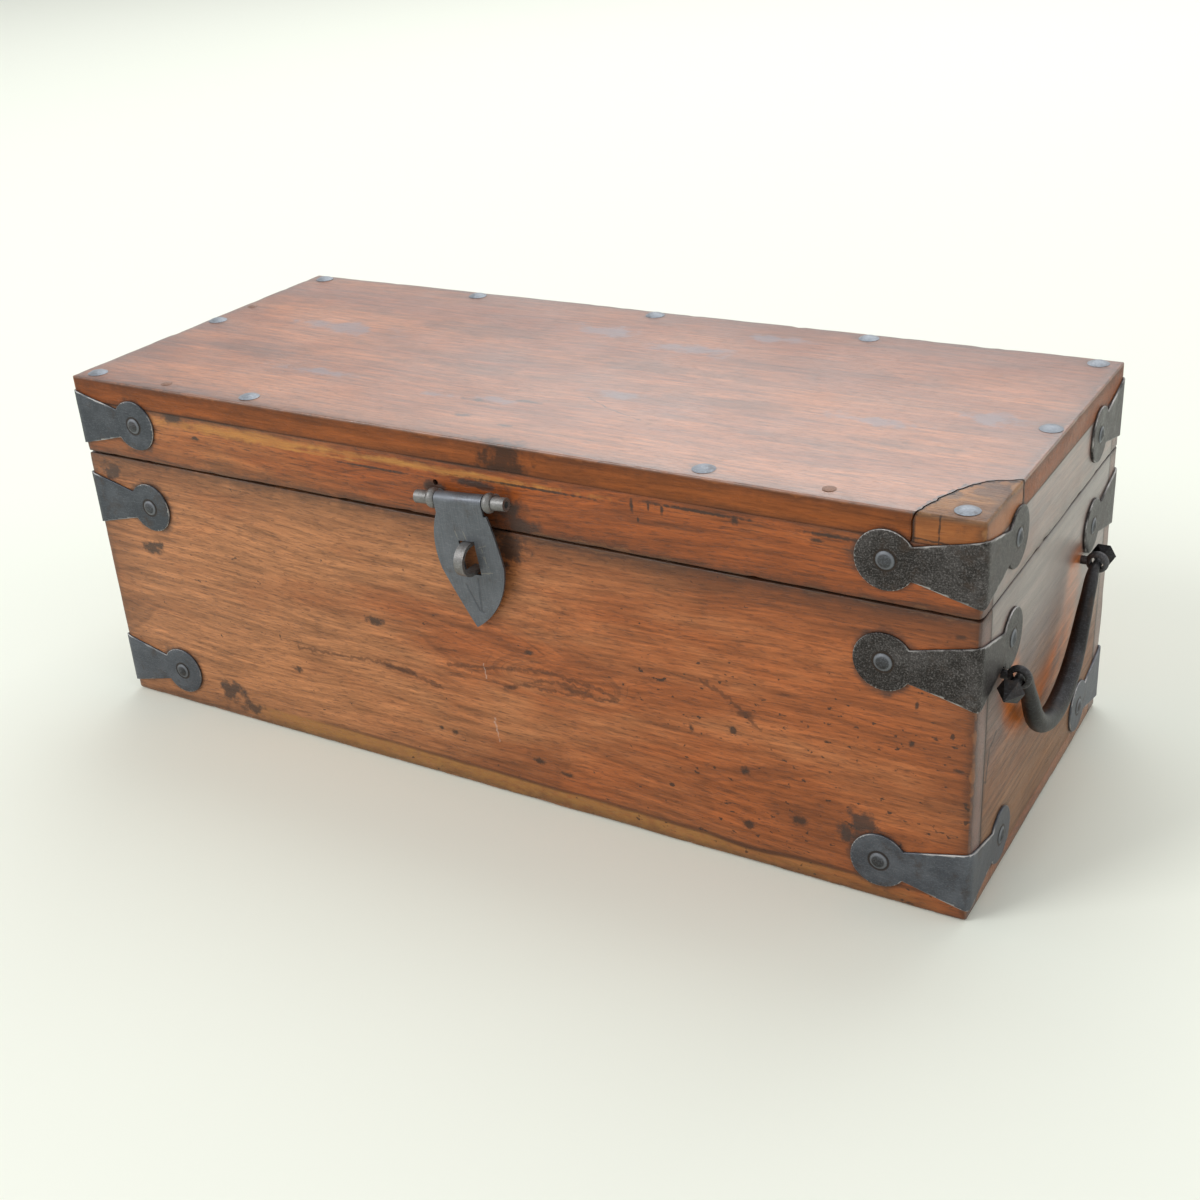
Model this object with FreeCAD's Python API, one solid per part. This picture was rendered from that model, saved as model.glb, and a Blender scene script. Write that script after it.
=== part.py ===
import FreeCAD, Part

import math
import os

Vector = FreeCAD.Vector
ORIGIN = Vector(0, 0, 0)
X = Vector(1, 0, 0)
Y = Vector(0, 1, 0)
Z = Vector(0, 0, 1)

# An iron-bound lidded box. Millimetres; origin at the centre of the underside,
# X along the length (right end positive), Y from the front to the back, Z up.

# The box
length = 600.0
depth = 248.0
height = 230.0
lid_height = 51.4
seam_gap = 0.6
joint_gap = 0.2
front_board_thickness = 16.0
back_board_thickness = 16.0
end_board_thickness = 16.0
bottom_board_thickness = 11.0
top_board_thickness = 16.0
lid_front_thickness = 16.0
lid_back_thickness = 16.0
lid_end_thickness = 16.0
corner_round = 2.5
top_round = 2.0
bottom_round = 2.3
seam_round = 0.8

# The corner of the top board that has split off, front right:
# each bend of the split as (distance in from the right end, distance back from the front)
split_path = ((36.5, 0.0), (30.5, 21.5), (24.0, 39.0), (15.0, 49.5), (0.0, 57.0))
split_gap = 1.0

# Keyhole straps of sheet iron, bent round each corner
strap_thickness = 1.4
strap_seat = 0.05
strap_corner_half_width = 18.0
strap_neck_half_width = 9.3
strap_disc_radius = 16.3
strap_disc_run = 49.0
lid_strap_drop = 27.5
upper_strap_drop = 31.7
lower_strap_rise = 25.5

# Rivets with a domed head outside and a peened tail inside
rivet_head_radius = 5.0
rivet_head_height = 1.5
rivet_shank_radius = 2.2
rivet_tail_radius = 3.4
rivet_tail_height = 1.1
bore_clearance = 0.05

# Domed nails that hold the top board down, and smaller brads between them
nail_head_radius = 6.4
nail_head_height = 1.9
nail_shank_radius = 1.6
nail_tip_cover = 11.8
brad_head_radius = 3.6
brad_head_height = 0.7
brad_shank_radius = 1.1
brad_tip_cover = 20.3
nail_front_inset = 10.5
nail_back_inset = 9.0
nail_corner_run = 13.0
nail_end_inset = 8.0
# between the corner nails: insets from the nearer end, or offsets from the middle
front_left_nail_inset = 141.0
front_right_nail_inset = 152.0
back_left_nail_inset = 152.0
back_middle_nail_offset = -5.0
back_right_nail_inset = 154.0
front_left_brad_inset = 73.0
front_right_brad_inset = 83.0
end_nail_offset = 4.0
left_brad_offset = 40.0

# Flush nails up through the bottom board into the end boards
floor_nail_head_radius = 3.5
floor_nail_head_height = 1.2
floor_nail_shank_radius = 1.4
floor_nail_length = 30.0
floor_nail_outer_inset = 44.0
floor_nail_inner_run = 28.0

# Hasp: a leaf of sheet iron rolled round a pin that two split-pin eyes hold to the lid
hasp_pin_offset = 4.7
hasp_pin_rise = 17.3
hasp_pin_stand = 7.0
hasp_tilt = 4.3
hasp_lean = 5.5
hasp_pin_radius = 3.0
hasp_pin_end_radius = 3.9
hasp_pin_end_length = 8.2
hasp_pin_dimple_radius = 2.0
hasp_pin_dimple_depth = 2.5
hasp_eye_run = 19.2
hasp_eye_width = 5.6
hasp_eye_thickness = 2.8
hasp_end_play = 0.3
pin_clearance = 0.05
hasp_thickness = 1.4
hasp_roll_gap = 1.0
hasp_shoulder_drop = 6.8
hasp_right_step = 2.0
# outline, as (to the right of the middle, below the pin)
hasp_left_shoulder = (-22.2, 25.5)
hasp_left_flank = (-21.6, 43.5)
hasp_left_taper = (-14.2, 63.0)
hasp_tip = (-6.5, 81.0)
hasp_right_shoulder = (20.6, 22.0)
hasp_right_flank = (22.2, 39.0)
hasp_right_taper = (10.8, 66.2)
hasp_slot_offset = 0.2
hasp_slot_drop = 34.3
hasp_slot_end_clearance = 0.75
hasp_slot_side_clearance = 2.3

# An old nail hole beside the left eye
old_hole_radius = 1.8
old_hole_depth = 7.0
old_hole_offset = -22.2
old_hole_rise = 4.6

# Staple: a flat band bent to a U, its legs through the front board and clenched inside
staple_radius = 10.0
staple_thickness = 2.2
staple_width = 6.0
staple_stand = 20.0
staple_clench = 10.0

# Drop handles: a bail hung in two split-pin eyes on each end
handle_front_inset = 37.0
handle_back_inset = 65.0
handle_drop = 47.5
handle_stand = 9.0
handle_eye_bore = 3.9
handle_eye_thickness = 2.7
handle_eye_width = 5.0
bail_rest_gap = 0.3
bail_neck_radius = 2.6
bail_leg_radius = 3.6
bail_grip_radius = 6.0
bail_neck_run = 4.0
bail_bend_radius = 7.0
bail_arm_slope = 58.0
bail_arm_length = 36.0
finial_run = 13.5
finial_radius = 7.2
finial_length = 11.0
finial_tip_radius = 0.6
finial_back_length = 2.5
finial_sides = 6
clench_length = 11.0

# Two strap hinges on the back
hinge_end_inset = 115.0
hinge_pin_radius = 2.5
hinge_wall = 1.4
hinge_stand_off = 0.25
hinge_knuckle_length = 12.0
hinge_knuckles = 3
hinge_end_play = 0.3
hinge_leaf_relief = 0.5
hinge_pin_head_radius = 3.4
hinge_pin_head_length = 1.0
hinge_lid_disc_run = 32.0
hinge_lid_disc_radius = 13.0
hinge_lid_neck_half_width = 8.0
hinge_body_disc_run = 49.0

# Worked out from the sizes above
lid_bottom = height - lid_height
seam_height = lid_bottom - seam_gap
rail_top = height - top_board_thickness
lid_strap_height = height - lid_strap_drop
upper_strap_height = seam_height - upper_strap_drop
front_face = -depth / 2
back_face = depth / 2
end_face = length / 2
body_inner_front = front_face + front_board_thickness
body_inner_back = back_face - back_board_thickness
lid_inner_front = front_face + lid_front_thickness
lid_inner_back = back_face - lid_back_thickness
iron_face = strap_seat + strap_thickness
hinge_knuckle_radius = hinge_pin_radius + pin_clearance + hinge_wall
hinge_axis_height = seam_height + seam_gap / 2
hinge_axis = Vector(0, back_face + hinge_stand_off + hinge_knuckle_radius, hinge_axis_height)
hinge_half_width = hinge_knuckles * hinge_knuckle_length / 2 + hinge_end_play
nail_length = lid_height - nail_tip_cover - nail_shank_radius
brad_length = lid_height - brad_tip_cover - brad_shank_radius
handle_offset = (handle_front_inset - handle_back_inset) / 2
handle_eye_run = (depth - handle_front_inset - handle_back_inset) / 2
bail_half_width = handle_eye_run - bail_neck_run
hasp_pin_middle = Vector(hasp_pin_offset, front_face - hasp_pin_stand, lid_bottom + hasp_pin_rise)


def block(low, high):
    """A box between two opposite corners."""
    size = high.sub(low)
    return Part.makeBox(size.x, size.y, size.z, low)


def bar(radius, start, end):
    """A round bar between two points."""
    run = end.sub(start)
    return Part.makeCylinder(radius, run.Length, start, run)


def prism(points, along):
    """A flat outline of points and arc middles, extruded. An arc is (middle, end) in the list."""
    edges = []
    last = points[0]
    for point in points[1:] + points[:1]:
        if isinstance(point, tuple):
            middle, end = point
            edges.append(Part.Arc(last, middle, end).toShape())
            last = end
        elif point.distanceToPoint(last) > 0:
            edges.append(Part.LineSegment(last, point).toShape())
            last = point
    return Part.Face(Part.Wire(edges)).extrude(along)


def one_solid(shape):
    """The shape with the seams between joined faces removed."""
    return shape.removeSplitter()


def mirrored(shape, axis, wanted):
    """The shape, mirrored through the origin across the axis if that is wanted."""
    if wanted:
        return shape.mirror(ORIGIN, axis)
    return shape


def drilled(shape, bores):
    """The shape with every bore that reaches it cut out."""
    for bore in bores:
        if shape.BoundBox.intersect(bore.BoundBox):
            shape = shape.cut(bore)
    return shape


def envelope(bottom, top, bottom_edge_round, top_edge_round):
    """The box's outside between two heights, with rounded corners and arrises."""
    shape = block(Vector(-end_face, front_face, bottom), Vector(end_face, back_face, top))
    upright = [edge for edge in shape.Edges if edge.BoundBox.ZLength > 1]
    shape = shape.makeFillet(corner_round, upright)
    for level, radius in ((bottom, bottom_edge_round), (top, top_edge_round)):
        rim = [edge for edge in shape.Edges
               if abs(edge.BoundBox.ZMin - level) < 1e-6 and edge.BoundBox.ZLength < 1e-6]
        shape = shape.makeFillet(radius, rim)
    return shape


body_envelope = envelope(0.0, seam_height, bottom_round, seam_round)
lid_envelope = envelope(lid_bottom, height, seam_round, top_round)


# Fasteners

def headed_pin(head_radius, head_height, shank_radius, grip, tail_radius, tail_height):
    """A domed head above Z 0, a shank down to -grip and a domed tail, turned about Z."""
    def dome(radius, rise, seat, outward):
        sphere = (radius * radius + rise * rise) / (2 * rise)
        half = math.asin(radius / sphere) / 2
        middle = rise - sphere + sphere * math.cos(half)
        return Vector(sphere * math.sin(half), 0, seat + outward * middle)

    head_top = Vector(0, 0, head_height)
    head_rim = Vector(head_radius, 0, 0)
    neck = Vector(shank_radius, 0, 0)
    foot = Vector(shank_radius, 0, -grip)
    tail_rim = Vector(tail_radius, 0, -grip)
    tail_end = Vector(0, 0, -grip - tail_height)
    edges = [
        Part.Arc(head_top, dome(head_radius, head_height, 0, 1), head_rim).toShape(),
        Part.LineSegment(head_rim, neck).toShape(),
        Part.LineSegment(neck, foot).toShape(),
    ]
    if tail_radius > shank_radius:
        edges.append(Part.LineSegment(foot, tail_rim).toShape())
    edges.append(Part.Arc(tail_rim, dome(tail_radius, tail_height, -grip, -1), tail_end).toShape())
    edges.append(Part.LineSegment(tail_end, head_top).toShape())
    return Part.Face(Part.Wire(edges)).revolve(ORIGIN, Z, 360)


def placed(shape, seat, outward):
    """The shape moved so that its Z 0 lies at the seat and its +Z points outward."""
    shape = shape.copy()
    shape.Placement = FreeCAD.Placement(seat, FreeCAD.Rotation(Z, outward))
    return shape


def rivet(face_point, outward, iron, board):
    """A rivet through the iron that lies on face_point and through the board behind it."""
    grip = iron + board
    pin = headed_pin(rivet_head_radius, rivet_head_height, rivet_shank_radius, grip,
                     rivet_tail_radius, rivet_tail_height)
    return placed(pin, face_point.add(outward * iron), outward)


def rivet_bore(face_point, outward, board):
    """The hole for a rivet, from outside its iron to inside the board."""
    radius = rivet_shank_radius + bore_clearance
    return bar(radius, face_point.add(outward * 2 * iron_face), face_point.sub(outward * (board + iron_face)))


def keyhole(place, corner_half, neck_half, disc_radius, disc_run, tail, along):
    """A keyhole leaf: wide at its root, tapering to a neck, then a disc. place maps (run, across)."""
    neck_run = disc_run - math.sqrt(disc_radius ** 2 - neck_half ** 2)
    points = [
        place(-tail, corner_half),
        place(0, corner_half),
        place(neck_run, neck_half),
        (place(disc_run + disc_radius, 0), place(neck_run, -neck_half)),
        place(0, -corner_half),
        place(-tail, -corner_half),
    ]
    return prism(points, along)


# Corner straps

def strap_blank(axis_height):
    """The front right strap before its outline is cut: sheet bent round the corner."""
    inner = corner_round + strap_seat
    outer = inner + strap_thickness
    centre = Vector(end_face - corner_round, front_face + corner_round, 0)
    reach = strap_disc_run + strap_disc_radius + strap_thickness
    bend = math.sqrt(0.5)
    half = max(strap_corner_half_width, strap_disc_radius)
    floor = Vector(0, 0, axis_height - half)

    def corner(radius):
        on_front = centre.add(Vector(0, -radius, 0))
        on_bend = centre.add(Vector(radius * bend, -radius * bend, 0))
        on_end = centre.add(Vector(radius, 0, 0))
        return [point.add(floor) for point in (on_front, on_bend, on_end)]

    outer_front, outer_bend, outer_end = corner(outer)
    inner_front, inner_bend, inner_end = corner(inner)
    points = [
        outer_front.sub(X * reach),
        outer_front,
        (outer_bend, outer_end),
        outer_end.add(Y * reach),
        inner_end.add(Y * reach),
        inner_end,
        (inner_bend, inner_front),
        inner_front.sub(X * reach),
    ]
    return prism(points, Z * (2 * half))


def strap_rivet_places(side_x, side_y, axis_height):
    """Where a strap's two rivets meet the wood, with their outward directions."""
    on_front = Vector(side_x * (end_face - strap_disc_run), side_y * back_face, axis_height)
    on_end = Vector(side_x * end_face, side_y * (back_face - strap_disc_run), axis_height)
    return ((on_front, Y * side_y), (on_end, X * side_x))


def corner_strap(side_x, side_y, axis_height, bores):
    """One keyhole strap, for the corner at those sides."""
    tail = 2 * iron_face
    depth_of_cut = corner_round + 2 * tail

    def on_front(run, across):
        return Vector(end_face - run, front_face - tail, axis_height + across)

    def on_end(run, across):
        return Vector(end_face + tail, front_face + run, axis_height + across)

    leaf = (strap_corner_half_width, strap_neck_half_width, strap_disc_radius, strap_disc_run, tail)
    front_cut = keyhole(on_front, *leaf, Y * depth_of_cut)
    end_cut = keyhole(on_end, *leaf, X * -depth_of_cut)
    strap = strap_blank(axis_height).common(front_cut.fuse(end_cut))
    strap = mirrored(one_solid(strap), X, side_x < 0)
    strap = mirrored(strap, Y, side_y > 0)
    return drilled(strap, bores)


corners = {
    "front_left": (-1, -1),
    "front_right": (1, -1),
    "back_left": (-1, 1),
    "back_right": (1, 1),
}
body_strap_levels = {"upper": upper_strap_height, "lower": lower_strap_rise}


def board_behind(outward, front, back, end):
    """The thickness of the board whose face points outward."""
    if abs(outward.x) > 0.5:
        return end
    return front if outward.y < 0 else back


def strap_fasteners(levels, front, back, end):
    """Rivets and bores for the straps at those heights, on boards of those thicknesses."""
    rivets = []
    bores = []
    for side_x, side_y in corners.values():
        for axis_height in levels:
            for point, outward in strap_rivet_places(side_x, side_y, axis_height):
                board = board_behind(outward, front, back, end)
                rivets.append(rivet(point, outward, iron_face, board))
                bores.append(rivet_bore(point, outward, board))
    return rivets, bores


lid_strap_rivets, lid_strap_bores = strap_fasteners(
    (lid_strap_height,), lid_front_thickness, lid_back_thickness, lid_end_thickness)
body_strap_rivets, body_strap_bores = strap_fasteners(
    body_strap_levels.values(), front_board_thickness, back_board_thickness, end_board_thickness)


# Nails

def top_nail_places():
    """Where the domed nails stand on the top board."""
    front = front_face + nail_front_inset
    back = back_face - nail_back_inset
    corner = end_face - nail_corner_run
    end = end_face - nail_end_inset
    front_line = (front_left_nail_inset - end_face, end_face - front_right_nail_inset)
    back_line = (back_left_nail_inset - end_face, back_middle_nail_offset, end_face - back_right_nail_inset)
    stations = [(x, front) for x in (-corner, *front_line, corner)]
    stations += [(x, back) for x in (-corner, *back_line, corner)]
    stations += [(side * end, end_nail_offset) for side in (-1, 1)]
    return [Vector(x, y, height) for x, y in stations]


def top_brad_places():
    """Where the small brads stand on the top board."""
    front = front_face + nail_front_inset
    end = end_face - nail_end_inset
    front_line = (front_left_brad_inset - end_face, end_face - front_right_brad_inset)
    stations = [(x, front) for x in front_line] + [(-end, left_brad_offset)]
    return [Vector(x, y, height) for x, y in stations]


def nail_set(places, outward, head_radius, head_height, shank_radius, shank_length):
    """Nails with a short blunt point, and the bores that they fill."""
    nail = headed_pin(head_radius, head_height, shank_radius, shank_length, shank_radius, shank_radius)
    nails = [placed(nail, place, outward) for place in places]
    reach = shank_length + 2 * shank_radius
    bores = [bar(shank_radius + bore_clearance, place.add(outward * head_height), place.sub(outward * reach))
             for place in places]
    return nails, bores


top_nails, top_nail_bores = nail_set(
    top_nail_places(), Z, nail_head_radius, nail_head_height, nail_shank_radius, nail_length)
top_brads, top_brad_bores = nail_set(
    top_brad_places(), Z, brad_head_radius, brad_head_height, brad_shank_radius, brad_length)


def floor_nail_places():
    """Where the floor nails' heads lie under the end boards."""
    middle = end_face - end_board_thickness / 2
    outer = back_face - floor_nail_outer_inset
    line = (-outer, -floor_nail_inner_run, floor_nail_inner_run, outer)
    return [Vector(side * middle, y, 0) for side in (-1, 1) for y in line]


def floor_nail(place):
    """A nail with a flat head let in flush with the underside."""
    head = bar(floor_nail_head_radius, place, place.add(Z * floor_nail_head_height))
    shank = bar(floor_nail_shank_radius, place, place.add(Z * floor_nail_length))
    return one_solid(head.fuse(shank))


def floor_nail_bore(place):
    """The counterbored hole for a floor nail."""
    head_top = floor_nail_head_height + bore_clearance
    shank_top = floor_nail_length + bore_clearance
    head = bar(floor_nail_head_radius + bore_clearance, place, place.add(Z * head_top))
    shank = bar(floor_nail_shank_radius + bore_clearance, place, place.add(Z * shank_top))
    return head.fuse(shank)


floor_nails = [floor_nail(place) for place in floor_nail_places()]
floor_nail_bores = [floor_nail_bore(place) for place in floor_nail_places()]


# Split-pin eyes

def split_pin_eye(bore_radius, thickness, width, stand, board, clench_axis):
    """An eye of half-round bar. Its ring is at the origin with its hole along Y and its shank runs
    along -X through the board's face at -stand, then its two legs are bent apart inside."""
    ring_face = Part.Face(Part.Wire([
        Part.LineSegment(Vector(bore_radius, -width / 2, 0), Vector(bore_radius, width / 2, 0)).toShape(),
        Part.Arc(Vector(bore_radius, width / 2, 0),
                 Vector(bore_radius + thickness, 0, 0),
                 Vector(bore_radius, -width / 2, 0)).toShape(),
    ]))
    ring = ring_face.revolve(ORIGIN, Y, 360)
    inside = -stand - board - bore_clearance
    root = -bore_radius - thickness / 2
    shank = bar(width / 2, Vector(root, 0, 0), Vector(inside, 0, 0))
    seat = Vector(inside, 0, 0)
    legs = bar(width / 2, seat.sub(clench_axis * clench_length), seat.add(clench_axis * clench_length))
    board_side = block(Vector(inside, -clench_length - width, -clench_length - width),
                       Vector(inside + width, clench_length + width, clench_length + width))
    return one_solid(ring.fuse(shank).fuse(legs.cut(board_side)))


def eye_bore(width, stand, board):
    """The hole for an eye's shank, in the same frame as the eye."""
    radius = width / 2 + bore_clearance
    return bar(radius, Vector(-stand + bore_clearance, 0, 0), Vector(-stand - board - width, 0, 0))


# Drop handles. Each is made on the right end and mirrored for the left.

handle_axis = Vector(end_face + handle_stand, handle_offset, seam_height - handle_drop)
bail_drop_in_eye = handle_eye_bore - bail_neck_radius - bail_rest_gap


def handle_eye_frame(side):
    """The place of the ring's centre: the bail's neck hangs in the bottom of it."""
    return FreeCAD.Placement(handle_axis.add(Vector(0, side * handle_eye_run, bail_drop_in_eye)),
                             FreeCAD.Rotation())


def handle_eye(side):
    """One eye of the right handle."""
    eye = split_pin_eye(handle_eye_bore, handle_eye_thickness, handle_eye_width,
                        handle_stand, end_board_thickness, Z)
    eye.Placement = handle_eye_frame(side)
    return eye


def handle_eye_bore_hole(side):
    """The hole for one eye of the right handle."""
    hole = eye_bore(handle_eye_width, handle_stand, end_board_thickness)
    hole.Placement = handle_eye_frame(side)
    return hole


def bail_section(radius, point, run):
    """A round section at a point of the bail's middle line, square to its run there."""
    circle = Part.Wire([Part.Circle(ORIGIN, Y, radius).toShape()])
    circle.Placement = FreeCAD.Placement(point, FreeCAD.Rotation(Y, run))
    return circle


def bail_bar():
    """The bent bar between the two necks: a bend, a sloping arm and a round grip, then the same again."""
    slope = math.radians(bail_arm_slope)
    arm_run = Vector(0, math.cos(slope), -math.sin(slope))
    arm_start = Vector(0, bail_bend_radius * math.sin(slope) - bail_half_width,
                       bail_bend_radius * (math.cos(slope) - 1))
    arm_end = arm_start.add(arm_run * bail_arm_length)
    grip_bend_radius = -arm_end.y / math.sin(slope)
    half_run = bail_arm_length + grip_bend_radius * slope
    bend_steps = 4
    arm_steps = 4
    grip_steps = 7

    def swelling(run):
        """The bar's radius at a run below its bend: it grows to the middle of the grip."""
        share = math.sin(math.pi / 2 * run / half_run)
        return bail_leg_radius + (bail_grip_radius - bail_leg_radius) * share

    sections = []
    for step in range(bend_steps):
        share = step / bend_steps
        turn = slope * share
        point = Vector(0, bail_bend_radius * math.sin(turn) - bail_half_width,
                       bail_bend_radius * (math.cos(turn) - 1))
        radius = bail_neck_radius + (bail_leg_radius - bail_neck_radius) * share
        sections.append(bail_section(radius, point, Vector(0, math.cos(turn), -math.sin(turn))))
    for step in range(arm_steps):
        run = bail_arm_length * step / arm_steps
        sections.append(bail_section(swelling(run), arm_start.add(arm_run * run), arm_run))
    for step in range(grip_steps):
        turn = slope * (1 - step / (grip_steps - 1))
        point = Vector(0, -grip_bend_radius * math.sin(turn),
                       arm_end.z - grip_bend_radius * (math.cos(turn) - math.cos(slope)))
        run = bail_arm_length + grip_bend_radius * (slope - turn)
        sections.append(bail_section(swelling(run), point, Vector(0, math.cos(turn), -math.sin(turn))))
    far_half = [section.mirror(ORIGIN, Y) for section in reversed(sections[:-1])]
    return Part.makeLoft(sections + far_half, True)


def hexagon(radius, y):
    """A hexagonal section across the handle's axis."""
    turns = [math.tau * step / finial_sides for step in range(finial_sides + 1)]
    return Part.makePolygon([Vector(radius * math.cos(turn), y, radius * math.sin(turn)) for turn in turns])


def bail():
    """The right handle's bail, with a faceted finial outside each eye."""
    shape = bail_bar()
    base = handle_eye_run + finial_run
    for side in (-1, 1):
        neck = bar(bail_neck_radius, Vector(0, side * (bail_half_width - bail_neck_radius / 2), 0),
                   Vector(0, side * base, 0))
        back = Part.makeLoft([hexagon(bail_neck_radius, side * (base - finial_back_length)),
                              hexagon(finial_radius, side * base)], True, True)
        point = Part.makeLoft([hexagon(finial_radius, side * base),
                               hexagon(finial_tip_radius, side * (base + finial_length))], True, True)
        shape = shape.fuse(neck).fuse(back).fuse(point)
    shape = one_solid(shape)
    shape.translate(handle_axis)
    return shape


# Hasp, pin and staple

hasp_bore_radius = hasp_pin_radius + pin_clearance
hasp_barrel_radius = hasp_bore_radius + hasp_thickness
hasp_barrel_half = hasp_eye_run - hasp_eye_width / 2 - hasp_end_play
hasp_frame = FreeCAD.Placement(hasp_pin_middle, FreeCAD.Rotation(Y, -hasp_tilt))
hasp_slot_middle = hasp_frame.multVec(Vector(hasp_slot_offset, 0, -hasp_slot_drop))


def hasp_pin():
    """The hasp's pin, thicker outside the eyes, with a dimple in its right end."""
    inner = hasp_eye_run + hasp_eye_width / 2 + hasp_end_play
    outer = inner + hasp_pin_end_length
    shape = bar(hasp_pin_radius, X * -outer, X * outer)
    for side in (-1, 1):
        shape = shape.fuse(bar(hasp_pin_end_radius, X * (side * inner), X * (side * outer)))
    dimple_floor = X * (outer - hasp_pin_dimple_depth)
    dimple = bar(hasp_pin_dimple_radius, dimple_floor, dimple_floor.add(X * hasp_pin_end_length))
    shape = one_solid(shape.cut(dimple))
    shape.Placement = hasp_frame
    return shape


def hasp_eye_frame(side):
    """The place of one eye on the pin: its shank points into the lid."""
    turned = FreeCAD.Placement(X * (side * hasp_eye_run), FreeCAD.Rotation(Z, -90))
    return hasp_frame.multiply(turned)


def hasp_eye(side):
    """One eye of the hasp's pin."""
    eye = split_pin_eye(hasp_bore_radius, hasp_eye_thickness, hasp_eye_width,
                        hasp_pin_stand, lid_front_thickness, Y)
    eye.Placement = hasp_eye_frame(side)
    return eye


def hasp_eye_bore(side):
    """The hole for one eye of the hasp's pin."""
    hole = eye_bore(hasp_eye_width, hasp_pin_stand, lid_front_thickness)
    hole.Placement = hasp_eye_frame(side)
    return hole


def hasp_plate():
    """The leaf, rolled round the pin at its top and slotted for the staple."""
    front = -hasp_barrel_radius

    def at(place):
        return Vector(place[0], front, -place[1])

    points = [
        at((-hasp_barrel_half, 0)),
        at((-hasp_barrel_half, hasp_shoulder_drop)),
        (at(hasp_left_shoulder), at(hasp_left_flank)),
        (at(hasp_left_taper), at(hasp_tip)),
        (at(hasp_right_taper), at(hasp_right_flank)),
        (at(hasp_right_shoulder), at((hasp_barrel_half + hasp_right_step, hasp_shoulder_drop))),
        at((hasp_barrel_half, hasp_shoulder_drop)),
        at((hasp_barrel_half, 0)),
    ]
    leaf = prism(points, Y * hasp_thickness)
    slot_half_width = staple_width / 2 + hasp_slot_side_clearance
    slot_half_length = staple_radius + hasp_slot_end_clearance
    slot = block(Vector(hasp_slot_offset - slot_half_width, front - hasp_thickness,
                        -hasp_slot_drop - slot_half_length),
                 Vector(hasp_slot_offset + slot_half_width, front + 2 * hasp_thickness,
                        -hasp_slot_drop + slot_half_length))
    roll = bar(hasp_barrel_radius, X * -hasp_barrel_half, X * hasp_barrel_half)
    mouth_top = -hasp_bore_radius / 2
    mouth_bottom = mouth_top - hasp_roll_gap - hasp_barrel_radius
    mouth_front = front + hasp_thickness
    mouth = block(Vector(-hasp_barrel_half, mouth_front, mouth_bottom),
                  Vector(hasp_barrel_half, mouth_front + hasp_roll_gap, mouth_top))
    bore = bar(hasp_bore_radius, X * (-2 * hasp_barrel_half), X * (2 * hasp_barrel_half))
    shape = leaf.cut(slot).fuse(roll.cut(mouth)).cut(bore)
    shape = one_solid(shape)
    shape.rotate(ORIGIN, X, hasp_lean)
    shape.Placement = hasp_frame.multiply(shape.Placement)
    return shape


def staple_loop(grow):
    """The staple's band outside and through the board, grown by a clearance."""
    outer = staple_radius + grow
    inner = staple_radius - staple_thickness - grow
    nose = Vector(hasp_slot_middle.x - staple_width / 2 - grow,
                  front_face - staple_stand + staple_radius, hasp_slot_middle.z)
    width = X * (staple_width + 2 * grow)
    run = body_inner_front - nose.y
    band = []
    for radius in (outer, inner):
        band.append(prism([
            nose.add(Vector(0, run, radius)),
            nose.add(Vector(0, 0, radius)),
            (nose.add(Vector(0, -radius, 0)), nose.add(Vector(0, 0, -radius))),
            nose.add(Vector(0, run, -radius)),
        ], width))
    return band[0].cut(band[1])


def hasp_staple():
    """The staple, with its legs clenched up and down inside the front board."""
    shape = staple_loop(0.0)
    seat = body_inner_front + bore_clearance
    low = Vector(hasp_slot_middle.x - staple_width / 2, body_inner_front - staple_thickness, 0)
    for side in (-1, 1):
        outer = hasp_slot_middle.z + side * staple_radius
        inner = outer - side * staple_thickness
        tip = outer + side * staple_clench
        bottom = min(inner, tip)
        top = max(inner, tip)
        leg = block(Vector(low.x, seat, bottom),
                    Vector(low.x + staple_width, seat + staple_thickness, top))
        root = block(Vector(low.x, low.y, min(inner, outer)),
                     Vector(low.x + staple_width, seat + staple_thickness, max(inner, outer)))
        shape = shape.fuse(leg).fuse(root)
    return one_solid(shape)


# Hinges. Each is made at the middle of the back and moved along its pin.

def knuckle(first, last):
    """A stretch of the hinge's barrel, between two distances along its pin."""
    return bar(hinge_knuckle_radius, Vector(first, 0, 0), Vector(last, 0, 0))


def hinge_leaf(side, disc_run, disc_radius, neck_half):
    """A keyhole leaf that goes up (side 1) or down (side -1) from the pin, flat on the back."""
    back = hinge_axis.y - back_face
    root = hinge_knuckle_radius + hinge_leaf_relief

    def on_back(run, across):
        return Vector(across, strap_seat - back, side * (root + run))

    leaf = (hinge_half_width, neck_half, disc_radius, disc_run - root, 0)
    return keyhole(on_back, *leaf, Y * strap_thickness)


def hinge_tongue(side, first, last):
    """The stretch of leaf that joins its barrel to it."""
    back = hinge_axis.y - back_face
    root = hinge_knuckle_radius + hinge_leaf_relief
    end = side * (root + strap_thickness)
    return block(Vector(first, strap_seat - back, min(0, end)),
                 Vector(last, strap_seat - back + strap_thickness, max(0, end)))


def hinge_part(side, stretches, disc_run, disc_radius, neck_half, station, bores):
    """One half of a hinge: its leaf with its stretches of barrel, bored for the pin."""
    shape = hinge_leaf(side, disc_run, disc_radius, neck_half)
    for first, last in stretches:
        shape = shape.fuse(hinge_tongue(side, first, last)).fuse(knuckle(first, last))
    bore = bar(hinge_pin_radius + pin_clearance, X * (-2 * hinge_half_width), X * (2 * hinge_half_width))
    shape = one_solid(shape.cut(bore))
    shape.translate(hinge_axis.add(X * station))
    return drilled(shape, bores)


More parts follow.
